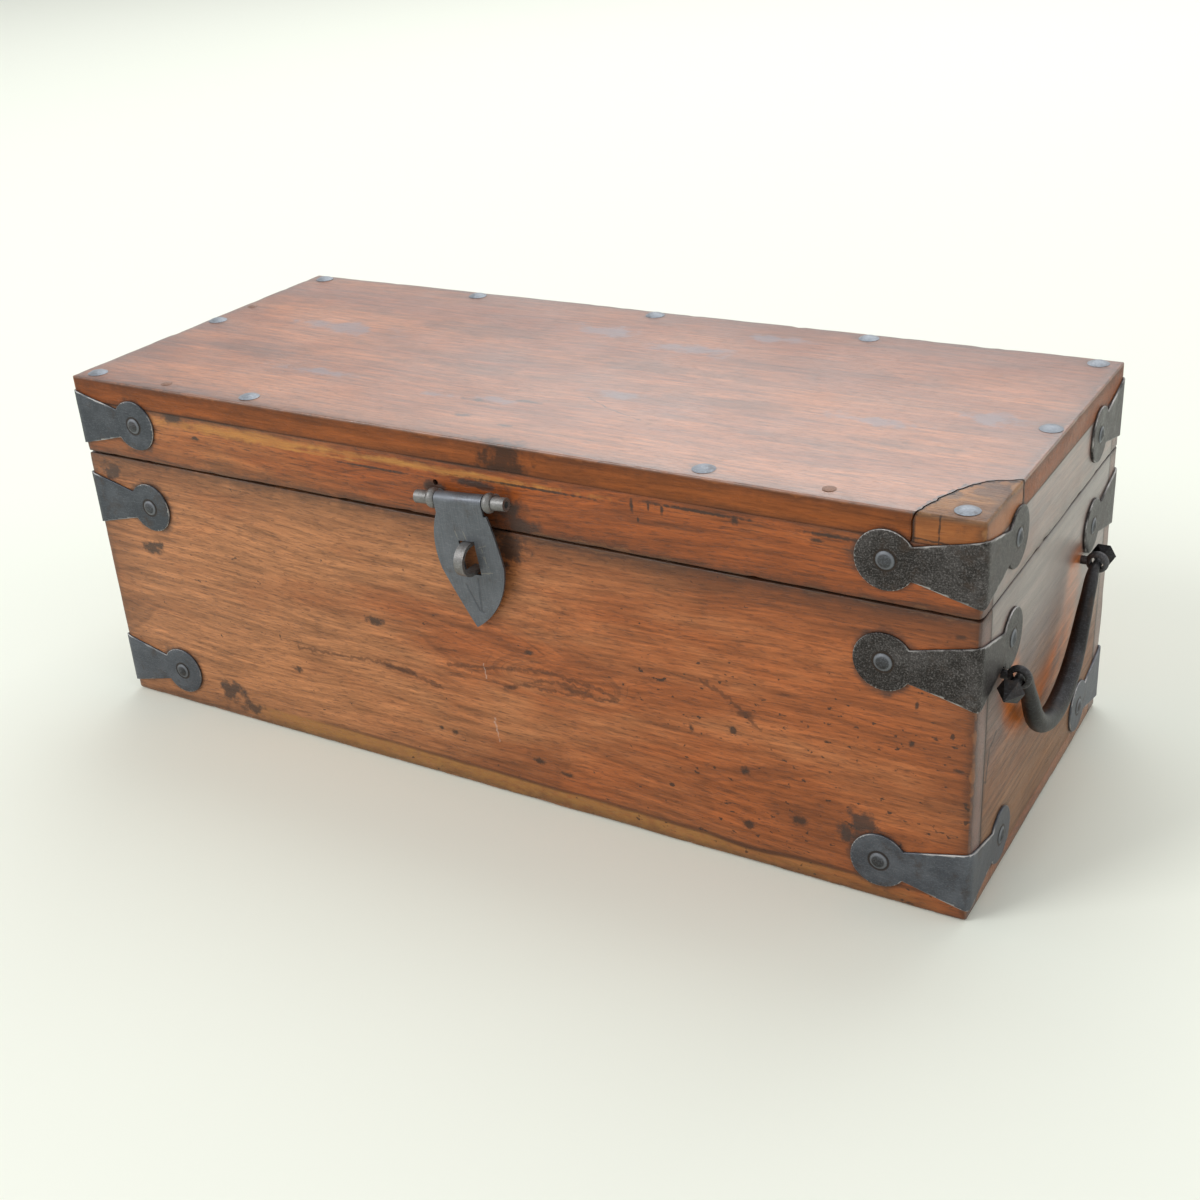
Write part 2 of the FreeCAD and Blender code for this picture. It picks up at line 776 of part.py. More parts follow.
def hinge_pin(station):
    """A hinge pin with a small head at each end."""
    half = hinge_half_width + hinge_end_play
    shape = bar(hinge_pin_radius, X * -half, X * half)
    for side in (-1, 1):
        shape = shape.fuse(bar(hinge_pin_head_radius, X * (side * half),
                               X * (side * (half + hinge_pin_head_length))))
    shape = one_solid(shape)
    shape.translate(hinge_axis.add(X * station))
    return shape


hinge_stations = {"left": hinge_end_inset - end_face, "right": end_face - hinge_end_inset}
half_knuckle = hinge_knuckle_length / 2
lid_stretches = ((-half_knuckle, half_knuckle),)
body_stretches = ((-hinge_half_width, -half_knuckle - hinge_end_play),
                  (half_knuckle + hinge_end_play, hinge_half_width))


def hinge_fasteners(side, disc_run, board):
    """The rivet and bore of each hinge's leaf on one side of the seam."""
    rivets = []
    bores = []
    for station in hinge_stations.values():
        point = Vector(station, back_face, hinge_axis.z + side * disc_run)
        rivets.append(rivet(point, Y, iron_face, board))
        bores.append(rivet_bore(point, Y, board))
    return rivets, bores


hinge_lid_rivets, hinge_lid_bores = hinge_fasteners(1, hinge_lid_disc_run, lid_back_thickness)
hinge_body_rivets, hinge_body_bores = hinge_fasteners(-1, hinge_body_disc_run, back_board_thickness)


# Boards

handle_bores = [mirrored(handle_eye_bore_hole(eye), X, end < 0) for end in (-1, 1) for eye in (-1, 1)]
hasp_eye_bores = [hasp_eye_bore(side) for side in (-1, 1)]
body_bores = body_strap_bores + hinge_body_bores + floor_nail_bores + handle_bores
lid_bores = lid_strap_bores + hinge_lid_bores + top_nail_bores + top_brad_bores + hasp_eye_bores


def body_board(low, high):
    """A board of the body, between two corners, trimmed to the rounded outside and drilled."""
    return drilled(block(low, high).common(body_envelope), body_bores)


def lid_board(low, high):
    """A board of the lid, between two corners, trimmed to the rounded outside and drilled."""
    return drilled(block(low, high).common(lid_envelope), lid_bores)


def front_board():
    """The body's front, full length, with slots for the staple's legs."""
    board = body_board(Vector(-end_face, front_face, 0), Vector(end_face, body_inner_front, seam_height))
    return board.cut(staple_loop(bore_clearance))


def back_board():
    """The body's back, full length."""
    return body_board(Vector(-end_face, body_inner_back, 0), Vector(end_face, back_face, seam_height))


def end_board(side):
    """An end of the body, between the front and the back, standing on the bottom board."""
    foot = bottom_board_thickness + joint_gap
    low = Vector(end_face - end_board_thickness, body_inner_front + joint_gap, foot)
    high = Vector(end_face, body_inner_back - joint_gap, seam_height)
    if side < 0:
        low.x, high.x = -high.x, -low.x
    return body_board(low, high)


def bottom_board():
    """The floor of the box, between the front and the back, its ends showing under the ends."""
    return body_board(Vector(-end_face, body_inner_front + joint_gap, 0),
                      Vector(end_face, body_inner_back - joint_gap, bottom_board_thickness))


def split_region(shift):
    """The corner of the top board outside the split, moved towards the corner by shift."""
    level = rail_top - top_round
    far_front = front_face - depth
    far_right = end_face + length
    line = [Vector(end_face - across + shift, front_face + back - shift, level) for across, back in split_path]
    outside = [Vector(far_right, line[-1].y, level), Vector(far_right, far_front, level),
               Vector(line[0].x, far_front, level)]
    return prism(line + outside, Z * (top_board_thickness + 2 * top_round))


def whole_top_board():
    """The top board as it was before its corner split off."""
    return lid_board(Vector(-end_face, front_face, rail_top + joint_gap), Vector(end_face, back_face, height))


def top_board():
    """The top board without its split corner."""
    return whole_top_board().cut(split_region(0.0))


def split_corner():
    """The split-off corner of the top board, held by its own nail."""
    return whole_top_board().common(split_region(split_gap * math.sqrt(0.5)))


def lid_front_rail():
    """The front of the lid's frame, with its old nail hole."""
    rail = lid_board(Vector(-end_face, front_face, lid_bottom), Vector(end_face, lid_inner_front, rail_top))
    mouth = Vector(hasp_pin_offset + old_hole_offset, front_face, hasp_pin_middle.z + old_hole_rise)
    return rail.cut(bar(old_hole_radius, mouth, mouth.add(Y * old_hole_depth)))


def lid_back_rail():
    """The back of the lid's frame."""
    return lid_board(Vector(-end_face, lid_inner_back, lid_bottom), Vector(end_face, back_face, rail_top))


def lid_end_rail(side):
    """An end of the lid's frame, between its front and its back."""
    low = Vector(end_face - lid_end_thickness, lid_inner_front + joint_gap, lid_bottom)
    high = Vector(end_face, lid_inner_back - joint_gap, rail_top)
    if side < 0:
        low.x, high.x = -high.x, -low.x
    return lid_board(low, high)


def build_nodes():
    """Every separate piece, by its node's name."""
    nodes = {
        "front_board": front_board(),
        "back_board": back_board(),
        "left_end_board": end_board(-1),
        "right_end_board": end_board(1),
        "bottom_board": bottom_board(),
        "floor_nails": Part.makeCompound(floor_nails),
        "lid_top_board": top_board(),
        "lid_split_corner": split_corner(),
        "lid_front_rail": lid_front_rail(),
        "lid_back_rail": lid_back_rail(),
        "lid_left_rail": lid_end_rail(-1),
        "lid_right_rail": lid_end_rail(1),
        "lid_top_nails": Part.makeCompound(top_nails),
        "lid_top_brads": Part.makeCompound(top_brads),
        "lid_strap_rivets": Part.makeCompound(lid_strap_rivets),
        "body_strap_rivets": Part.makeCompound(body_strap_rivets),
        "hinge_lid_rivets": Part.makeCompound(hinge_lid_rivets),
        "hinge_body_rivets": Part.makeCompound(hinge_body_rivets),
        "hasp_pin": hasp_pin(),
        "hasp_eye_left": hasp_eye(-1),
        "hasp_eye_right": hasp_eye(1),
        "hasp_plate": hasp_plate(),
        "hasp_staple": hasp_staple(),
    }
    for corner, (side_x, side_y) in corners.items():
        nodes["lid_strap_" + corner] = corner_strap(side_x, side_y, lid_strap_height, lid_strap_bores)
        for level, axis_height in body_strap_levels.items():
            name = "body_strap_" + level + "_" + corner
            nodes[name] = corner_strap(side_x, side_y, axis_height, body_strap_bores)
    for end, left in (("right", False), ("left", True)):
        nodes["handle_bail_" + end] = mirrored(bail(), X, left)
        nodes["handle_eye_" + end + "_front"] = mirrored(handle_eye(-1), X, left)
        nodes["handle_eye_" + end + "_back"] = mirrored(handle_eye(1), X, left)
    for end, station in hinge_stations.items():
        nodes["hinge_lid_leaf_" + end] = hinge_part(
            1, lid_stretches, hinge_lid_disc_run, hinge_lid_disc_radius,
            hinge_lid_neck_half_width, station, hinge_lid_bores)
        nodes["hinge_body_leaf_" + end] = hinge_part(
            -1, body_stretches, hinge_body_disc_run, strap_disc_radius,
            strap_neck_half_width, station, hinge_body_bores)
        nodes["hinge_pin_" + end] = hinge_pin(station)
    return nodes


os.makedirs("parts", exist_ok=True)
for name, shape in build_nodes().items():
    shape.exportStep("parts/" + name + ".step")
    print(name, len(shape.Solids), shape.isValid(), round(shape.Volume, 1))
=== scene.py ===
import math
from functools import partial, reduce

import bmesh
import bpy
from mathutils import Matrix, Vector, noise


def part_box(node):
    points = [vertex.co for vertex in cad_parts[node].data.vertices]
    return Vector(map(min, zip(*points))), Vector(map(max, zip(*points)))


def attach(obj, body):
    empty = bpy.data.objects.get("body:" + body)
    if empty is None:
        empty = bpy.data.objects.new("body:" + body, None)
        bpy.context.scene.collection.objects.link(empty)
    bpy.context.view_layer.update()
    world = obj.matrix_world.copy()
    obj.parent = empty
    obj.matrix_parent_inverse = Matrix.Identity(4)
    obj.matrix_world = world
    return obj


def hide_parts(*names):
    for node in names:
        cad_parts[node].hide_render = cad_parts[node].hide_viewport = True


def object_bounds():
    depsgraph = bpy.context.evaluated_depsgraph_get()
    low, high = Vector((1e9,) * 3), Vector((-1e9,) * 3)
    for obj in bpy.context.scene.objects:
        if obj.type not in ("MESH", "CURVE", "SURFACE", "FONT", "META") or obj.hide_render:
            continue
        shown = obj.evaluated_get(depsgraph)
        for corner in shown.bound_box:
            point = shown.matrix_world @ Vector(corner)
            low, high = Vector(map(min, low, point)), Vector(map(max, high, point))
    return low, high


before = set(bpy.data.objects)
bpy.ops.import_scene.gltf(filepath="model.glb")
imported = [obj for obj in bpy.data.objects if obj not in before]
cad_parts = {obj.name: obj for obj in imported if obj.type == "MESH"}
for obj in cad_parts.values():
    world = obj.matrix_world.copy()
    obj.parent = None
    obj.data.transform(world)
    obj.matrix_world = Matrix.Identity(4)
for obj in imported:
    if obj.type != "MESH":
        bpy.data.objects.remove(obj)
noise.seed_set(1)             # without it, noise vectors would differ from run to run
cad_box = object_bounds()


# ---------------------------------------------------------------------------
# Front board of the body. Planed hardwood, nailed, then oiled and handled for generations:
# its arrises are rubbed round, its face has gone a little hollow, and it carries sapwood
# along its foot, two old knots, and every knock since.

BOARD_PITCH = 0.005           # squares that a board's faces are cut into, to take wear
CORNER_ROUND = 0.0022         # rubbed arrises of the box
SEAM_ROUND = 0.0008           # arrises where lid and body meet
ON_FACE = 1e-5                # closer than this counts as lying on a face
FACE_HOLLOW = 0.00028         # how far the faces have gone hollow
ARRIS_LOSS = 0.0009           # how deep the arrises have worn
ARRIS_REACH = 0.004           # how far in from an arris its wear goes
HOLLOW_GRAIN = 14.0           # how quickly hollows, rubbed runs and nicks change along a board
RUB_GRAIN = 45.0
NICK_GRAIN = 160.0
RUB_SHIFT = Vector((7.0, 3.0, 1.0))
WOOD_CREASE = math.radians(38)

body_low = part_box("front_board")[0]
body_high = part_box("back_board")[1]
body_block = (body_low, body_high)
BODY_SEAM = body_high.z
SEAM_LEVEL = (body_high.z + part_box("lid_front_rail")[0].z) / 2


def face_distances(point, block):
    """How far a point lies from the nearer face of the block along each axis, smallest first."""
    low, high = block
    return sorted(min(abs(point[axis] - low[axis]), abs(high[axis] - point[axis])) for axis in range(3))


def cut_at(mesh, point, normal):
    """Cuts everything by a plane."""
    geometry = mesh.verts[:] + mesh.edges[:] + mesh.faces[:]
    bmesh.ops.bisect_plane(mesh, geom=geometry, dist=1e-6, plane_co=point, plane_no=normal)


def diced(mesh, pitch):
    """Cuts everything by planes a pitch apart, the longest way first."""
    corners = [[vert.co[axis] for vert in mesh.verts] for axis in range(3)]
    spans = [(max(values) - min(values), min(values), axis) for axis, values in enumerate(corners)]
    for span, start, axis in sorted(spans, reverse=True):
        normal = Vector([1.0 if axis == other else 0.0 for other in range(3)])
        count = round(span / pitch)
        for step in range(1, count):
            cut_at(mesh, normal * (start + span * step / count), normal)


def rounded(mesh, edges, radius):
    """Rounds edges to a radius."""
    bmesh.ops.bevel(mesh, geom=edges, offset=radius, offset_type="OFFSET", segments=3, profile=0.5,
                    affect="EDGES", material=-1, clamp_overlap=True)


def edge_middle(edge):
    """The middle of an edge."""
    return (edge.verts[0].co + edge.verts[1].co) / 2


def arris_edges(mesh, block, seam_level):
    """The edges on the block's own arrises, apart from those at the seam."""
    return [edge for edge in mesh.edges
            if face_distances(edge_middle(edge), block)[1] < ON_FACE
            and abs(edge_middle(edge).z - seam_level) > ON_FACE]


def seam_edges(mesh, block, seam_level):
    """The edges that run round the outside of the block at the seam."""
    low, high = block
    found = []
    for edge in mesh.edges:
        middle = edge_middle(edge)
        outside = min(middle.x - low.x, high.x - middle.x, middle.y - low.y, high.y - middle.y)
        level = all(abs(vert.co.z - seam_level) < ON_FACE for vert in edge.verts)
        if level and outside < CORNER_ROUND / 2 and any(abs(face.normal.z) < 0.5 for face in edge.link_faces):
            found.append(edge)
    return found


def outward(point, block):
    """The way out of the block at a point near its faces."""
    low, high = block
    way = Vector()
    for axis in range(3):
        way[axis] += max(0.0, CORNER_ROUND - abs(high[axis] - point[axis]))
        way[axis] -= max(0.0, CORNER_ROUND - abs(point[axis] - low[axis]))
    return way.normalized()


def wear(mesh, block):
    """Lets the outside faces go hollow and rubs the arrises down unevenly."""
    moves = []
    for vert in mesh.verts:
        nearest, arris, _ = face_distances(vert.co, block)
        if nearest > CORNER_ROUND:
            continue
        hollow = FACE_HOLLOW * (0.5 + 0.5 * noise.noise(vert.co * HOLLOW_GRAIN))
        rub = 0.5 + 0.5 * noise.noise(vert.co * RUB_GRAIN + RUB_SHIFT)
        nick = max(0.0, noise.noise(vert.co * NICK_GRAIN) - 0.25)
        loss = ARRIS_LOSS * (0.7 * rub * rub + 1.6 * nick) * math.exp(-(arris / ARRIS_REACH) ** 2)
        moves.append((vert, outward(vert.co, block) * -(hollow + loss)))
    for vert, move in moves:
        vert.co += move


def mesh_data(mesh, name, material):
    """The data of a mesh that is ready, in its material."""
    data = bpy.data.meshes.new(name)
    mesh.to_mesh(data)
    mesh.free()
    data.materials.append(material)
    return data


def placed(name, data):
    """A new object in the scene."""
    made = bpy.data.objects.new(name, data)
    bpy.context.scene.collection.objects.link(made)
    return made


def finished(mesh, name, material, body, node, crease=WOOD_CREASE):
    """Makes the mesh a piece of the object that stands for its CAD node."""
    mesh.normal_update()
    bmesh.ops.recalc_face_normals(mesh, faces=mesh.faces[:])
    data = mesh_data(mesh, name, material)
    data.shade_smooth()
    data.set_sharp_from_angle(angle=crease)
    piece = placed(name, data)
    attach(piece, body)
    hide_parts(node)


def board_blank(node, block, seam_level):
    """A board of the size of its node, with the arrises that it lends to the block rounded."""
    low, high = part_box(node)
    mesh = bmesh.new()
    bmesh.ops.create_cube(mesh, size=1.0)
    size = Matrix.Diagonal((*(high - low), 1.0))
    bmesh.ops.transform(mesh, matrix=Matrix.Translation((low + high) / 2) @ size, verts=mesh.verts)
    rounded(mesh, arris_edges(mesh, block, seam_level), CORNER_ROUND)
    mesh.normal_update()
    rounded(mesh, seam_edges(mesh, block, seam_level), SEAM_ROUND)
    diced(mesh, BOARD_PITCH)
    wear(mesh, block)
    return mesh


def filled(node, inputs):
    """Links a node's inputs or gives them values."""
    for socket, value in inputs.items():
        if isinstance(value, bpy.types.NodeSocket):
            node.id_data.links.new(value, node.inputs[socket])
        else:
            node.inputs[socket].default_value = value
    return node


def shader_node(kind, inputs=None, tree=None, **settings):
    """A node in the tree of its inputs, its settings set and its inputs linked or given values."""
    inputs = inputs or {}
    if tree is None:
        tree = next(value.id_data for value in inputs.values() if isinstance(value, bpy.types.NodeSocket))
    made = tree.nodes.new("ShaderNode" + kind)
    for setting, value in settings.items():
        setattr(made, setting, value)
    return filled(made, inputs)


def calc(operation, first, second=0.0, third=0.0):
    """The result of a sum on values."""
    return shader_node("Math", {0: first, 1: second, 2: third}, operation=operation).outputs[0]


def chained(operation):
    """A sum of that kind on two or more values, done from the left."""
    return lambda *values: reduce(partial(calc, operation), values)


times = chained("MULTIPLY")
total = chained("ADD")
minus = chained("SUBTRACT")
larger = chained("MAXIMUM")
smaller = chained("MINIMUM")
scaled = partial(calc, "MULTIPLY_ADD")


def far_from(value, level):
    """How far a value is from a level, to either side."""
    return calc("ABSOLUTE", minus(value, level))


def vector_calc(operation, first, second=(0, 0, 0)):
    """The result of a sum on vectors."""
    return shader_node("VectorMath", {0: first, 1: second}, operation=operation).outputs[0]


def stretched(vector, factor):
    """A vector times a value."""
    return shader_node("VectorMath", {0: vector, "Scale": factor}, operation="SCALE").outputs[0]


def dot(first, second):
    """The dot product of two vectors."""
    return shader_node("VectorMath", {0: first, 1: second}, operation="DOT_PRODUCT").outputs["Value"]


def parts(vector):
    """A vector's X, Y and Z."""
    return shader_node("SeparateXYZ", {0: vector}).outputs


def size_of(vector):
    """The length of a vector."""
    return shader_node("VectorMath", {0: vector}, operation="LENGTH").outputs["Value"]


def rising(value, start, end):
    """0 at start and 1 at end, smooth between them. start may be above end."""
    inputs = {"Value": value, "From Min": start, "From Max": end}
    return shader_node("MapRange", inputs, interpolation_type="SMOOTHSTEP").outputs[0]


def spread(value, low, high, start=0.3, end=0.7):
    """A value stretched evenly to run from low to high, from the usual span of a noise value."""
    inputs = {"Value": value, "From Min": start, "From Max": end, "To Min": low, "To Max": high}
    return shader_node("MapRange", inputs).outputs[0]


def mixed(share, first, second, blend="MIX"):
    """Two colours mixed by a share. A Mix node has its colours at 6 and 7 and their result at 2."""
    return shader_node("Mix", {0: share, 6: first, 7: second}, data_type="RGBA",
                       blend_type=blend).outputs[2]


def shaded(colour, shade):
    """A colour made darker or lighter by a shade, which is 1 where it stays."""
    grey = shader_node("CombineColor", {0: shade, 1: shade, 2: shade}).outputs[0]
    return mixed(1.0, colour, grey, blend="MULTIPLY")


def cloud(place, stretch, detail=2.0, roughness=0.5):
    """A noise value whose cells are 1/stretch metres long each way."""
    where = vector_calc("MULTIPLY", place, stretch)
    inputs = {"Vector": where, "Scale": 1.0, "Detail": detail, "Roughness": roughness}
    return shader_node("TexNoise", inputs).outputs["Fac"]


def even_cloud(place, stretch, detail=2.0, roughness=0.5):
    """A noise value whose cells are as long as they are wide."""
    return cloud(place, (stretch, stretch, stretch), detail, roughness)


def rings_at(radius, stretch, detail, roughness=0.5):
    """A noise value that changes with a radius alone."""
    inputs = {"W": times(radius, stretch), "Scale": 1.0, "Detail": detail, "Roughness": roughness}
    return shader_node("TexNoise", inputs, noise_dimensions="1D").outputs["Fac"]


def drift(place, scale, detail):
    """A noise vector round 0."""
    made = shader_node("TexNoise", {"Vector": place, "Scale": scale, "Detail": detail})
    return vector_calc("SUBTRACT", made.outputs["Color"], (0.5, 0.5, 0.5))


def effect(name, takes, gives):
    """A new node group, what it takes and its node for what it gives."""
    group = bpy.data.node_groups.new(name, "ShaderNodeTree")
    for in_out, sockets in (("INPUT", takes), ("OUTPUT", gives)):
        for title, kind in sockets.items():
            group.interface.new_socket(title, in_out=in_out, socket_type="NodeSocket" + kind)
    return group, group.nodes.new("NodeGroupInput").outputs, group.nodes.new("NodeGroupOutput")


def applied(group, inputs):
    """What a node group makes of its inputs."""
    return shader_node("Group", inputs, node_tree=group).outputs


def new_material(name):
    """A new material and its shader."""
    material = bpy.data.materials.new(name)
    material.use_nodes = True
    return material, material.node_tree.nodes["Principled BSDF"]


def make_timber_figure():
    """The figure of a board whose grain runs along X: bands, veins, streaks, fibre and pores."""
    group, takes, gives = effect("timber figure", {
        "Place": "Vector", "Heart": "Vector", "Knot": "Vector", "Knot Reach": "Vector", "Pale": "Color",
        "Warm": "Color", "Dark": "Color", "Warmth": "Float", "Streaks": "Float", "Pores": "Float",
    }, {"Colour": "Color", "Height": "Float"})
    place = takes["Place"]
    sway = drift(vector_calc("MULTIPLY", place, (3.4, 10.0, 10.0)), 1.0, 2.0)
    swayed = vector_calc("ADD", place, vector_calc("MULTIPLY", sway, (0.0, 0.028, 0.028)))
    across = vector_calc("SUBTRACT", swayed, takes["Heart"])
    radius = size_of(vector_calc("MULTIPLY", across, (0, 1, 1)))
    from_knot = vector_calc("DIVIDE", vector_calc("SUBTRACT", place, takes["Knot"]), takes["Knot Reach"])
    radius = scaled(rising(size_of(from_knot), 1.0, 0.0), 0.016, radius)
    bands = rings_at(radius, 95.0, 3.0, roughness=0.6)
    rings = rings_at(radius, 290.0, 1.0)
    patches = cloud(place, (4.5, 16.0, 16.0), detail=5.0, roughness=0.65)
    streaks = cloud(swayed, (6.0, 130.0, 130.0), detail=6.0, roughness=0.7)
    wisps = cloud(swayed, (45.0, 750.0, 750.0), detail=4.0, roughness=0.7)
    fibre = cloud(swayed, (22.0, 330.0, 330.0), detail=6.0, roughness=0.75)
    pores = cloud(place, (150.0, 1000.0, 1000.0), detail=1.0)
    tone = total(times(patches, 1.5), times(bands, 0.3), takes["Warmth"])
    colour = mixed(rising(tone, 0.60, 1.20), takes["Pale"], takes["Warm"])
    veins = rising(far_from(rings, 0.5), 0.045, 0.008)
    veins = times(veins, rising(patches, 0.44, 0.60), 0.5)
    lines = larger(times(rising(streaks, 0.50, 0.78), 0.8), times(rising(wisps, 0.52, 0.70), 0.7),
                   times(rising(bands, 0.55, 0.75), 0.2), veins)
    colour = mixed(times(lines, takes["Streaks"]), colour, takes["Dark"])
    holes = rising(pores, 0.58, 0.68)
    colour = mixed(times(holes, takes["Pores"]), colour, takes["Dark"])
    height = minus(times(fibre, 0.8), times(holes, 0.4), times(lines, 0.25))
    filled(gives, {"Colour": shaded(colour, spread(fibre, 0.50, 1.54)), "Height": height})
    return group


def make_blot():
    """A ragged spot: 1 in its middle and 0 outside."""
    group, takes, gives = effect("blot", {
        "Place": "Vector", "Centre": "Vector", "Reach": "Vector", "Ragged": "Float", "Fineness": "Float",
    }, {"Mask": "Float"})
    offset = vector_calc("SUBTRACT", takes["Place"], takes["Centre"])
    far = size_of(vector_calc("DIVIDE", offset, takes["Reach"]))
    rag = shader_node("TexNoise", {"Vector": takes["Place"], "Scale": takes["Fineness"], "Detail": 4.0,
                                   "Roughness": 0.65}).outputs["Fac"]
    rag = times(minus(rag, 0.5), takes["Ragged"], 4.0)
    filled(gives, {"Mask": rising(total(far, rag), 1.15, 0.35)})
    return group


SHAKE_GRAIN = 260.0           # how quickly a scored line strays to either side


def make_score():
    """A scored line from one point to another: 1 along it and 0 away from it."""
    group, takes, gives = effect("score", {
        "Place": "Vector", "Start": "Vector", "End": "Vector", "Width": "Float", "Shake": "Float",
    }, {"Mask": "Float"})
    shake = stretched(drift(takes["Place"], SHAKE_GRAIN, 3.0), takes["Shake"])
    offset = vector_calc("SUBTRACT", vector_calc("ADD", takes["Place"], shake), takes["Start"])
    run = vector_calc("SUBTRACT", takes["End"], takes["Start"])
    share = shader_node("Clamp", {"Value": calc("DIVIDE", dot(offset, run), dot(run, run))}).outputs[0]
    gap = size_of(vector_calc("SUBTRACT", offset, stretched(run, share)))
    filled(gives, {"Mask": rising(calc("DIVIDE", gap, takes["Width"]), 1.0, 0.3)})
    return group


def make_block_distances():
    """How far a point in a block is from the nearest arris, from the nearest face and from the sides."""
    group, takes, gives = effect("block distances", {
        "Place": "Vector", "Low": "Vector", "High": "Vector",
    }, {"Arris": "Float", "Depth": "Float", "Side": "Float"})
    above_low = vector_calc("SUBTRACT", takes["Place"], takes["Low"])
    below_high = vector_calc("SUBTRACT", takes["High"], takes["Place"])
    x, y, z = parts(vector_calc("MINIMUM", above_low, below_high))
    arris = smaller(larger(x, y), larger(y, z), larger(x, z))
    side = smaller(x, y)
    filled(gives, {"Arris": arris, "Depth": smaller(side, z), "Side": side})
    return group


timber_figure = make_timber_figure()
blot = make_blot()
score = make_score()
block_distances = make_block_distances()

PALE_WOOD = (0.42, 0.175, 0.070, 1)
WARM_WOOD = (0.345, 0.098, 0.027, 1)
DARK_WOOD = (0.075, 0.028, 0.013, 1)
RAW_WOOD = (0.30, 0.17, 0.09, 1)
SAPWOOD = (0.47, 0.225, 0.060, 1)
GRIME_AND_SHADE = (0.030, 0.020, 0.015, 1)
IRON_STAIN_AND_SHADOW = (0.040, 0.030, 0.026, 1)
WAX_BLOOM_AND_SHEEN = (0.215, 0.192, 0.192, 1)
BARE_SCRATCH = (0.55, 0.42, 0.36, 1)
NO_KNOT = ((0, 0, -9), (1, 1, 1))
PORES = 0.35
DULL_GLOSS = 0.15
BOARD_JOINT_Y = 0.108         # joint of front or back and end board, on both ends
STRAP_DISC_RUN = 0.049        # from a strap's corner to the middle of its disc
STRAP_DISC_RADIUS = 0.0163
IRON_CLOUD = 0.004            # how far iron stain spreads from a strap


def node_level(node):
    """The height of a node's middle."""
    low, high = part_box(node)
    return (low.z + high.z) / 2


STRAP_ROWS = (("lid_strap_", "lid"), ("body_strap_upper_", "chest"), ("body_strap_lower_", "chest"))
STRAP_LEVELS = [node_level(row_name + "front_left") for row_name, _ in STRAP_ROWS]


def make_disc_distance():
    """The distance to the middle of the nearest strap's disc, on front, back and ends alike."""
    group, takes, gives = effect("disc distance", {"Place": "Vector"}, {"Distance": "Float"})
    quarter = vector_calc("ABSOLUTE", takes["Place"])
    centres = [centre for level in STRAP_LEVELS
               for centre in ((body_high.x - STRAP_DISC_RUN, body_high.y, level),
                              (body_high.x, body_high.y - STRAP_DISC_RUN, level))]
    gaps = [size_of(vector_calc("SUBTRACT", quarter, centre)) for centre in centres]
    filled(gives, {"Distance": smaller(*gaps)})
    return group


disc_distance = make_disc_distance()


def on_plane(plane, first, second, depth=0):
    """A place or a reach from its two measures on the XY, XZ or YZ plane."""
    measures = {plane[0]: first, plane[1]: second}
    return tuple(measures.get(axis, depth) for axis in "XYZ")


def blots(place, plane, spots, ragged, fineness):
    """The strongest of several ragged spots, each with its middle and its reach on the plane."""
    inputs = {"Place": place, "Ragged": ragged, "Fineness": fineness}
    return larger(*[applied(blot, {**inputs, "Centre": on_plane(plane, *spot[:2]),
                                   "Reach": on_plane(plane, *spot[2:], depth=1)})["Mask"] for spot in spots])


def scores(place, plane, paths, width, shake):
    """The strongest of several scored paths, each a row of points on the plane."""
    inputs = {"Place": vector_calc("MULTIPLY", place, on_plane(plane, 1, 1)), "Width": width, "Shake": shake}
    return larger(*[applied(score, {**inputs, "Start": on_plane(plane, *start[:2]),
                                    "End": on_plane(plane, *end[:2])})["Mask"]
                    for path in paths for start, end in zip(path, path[1:])])


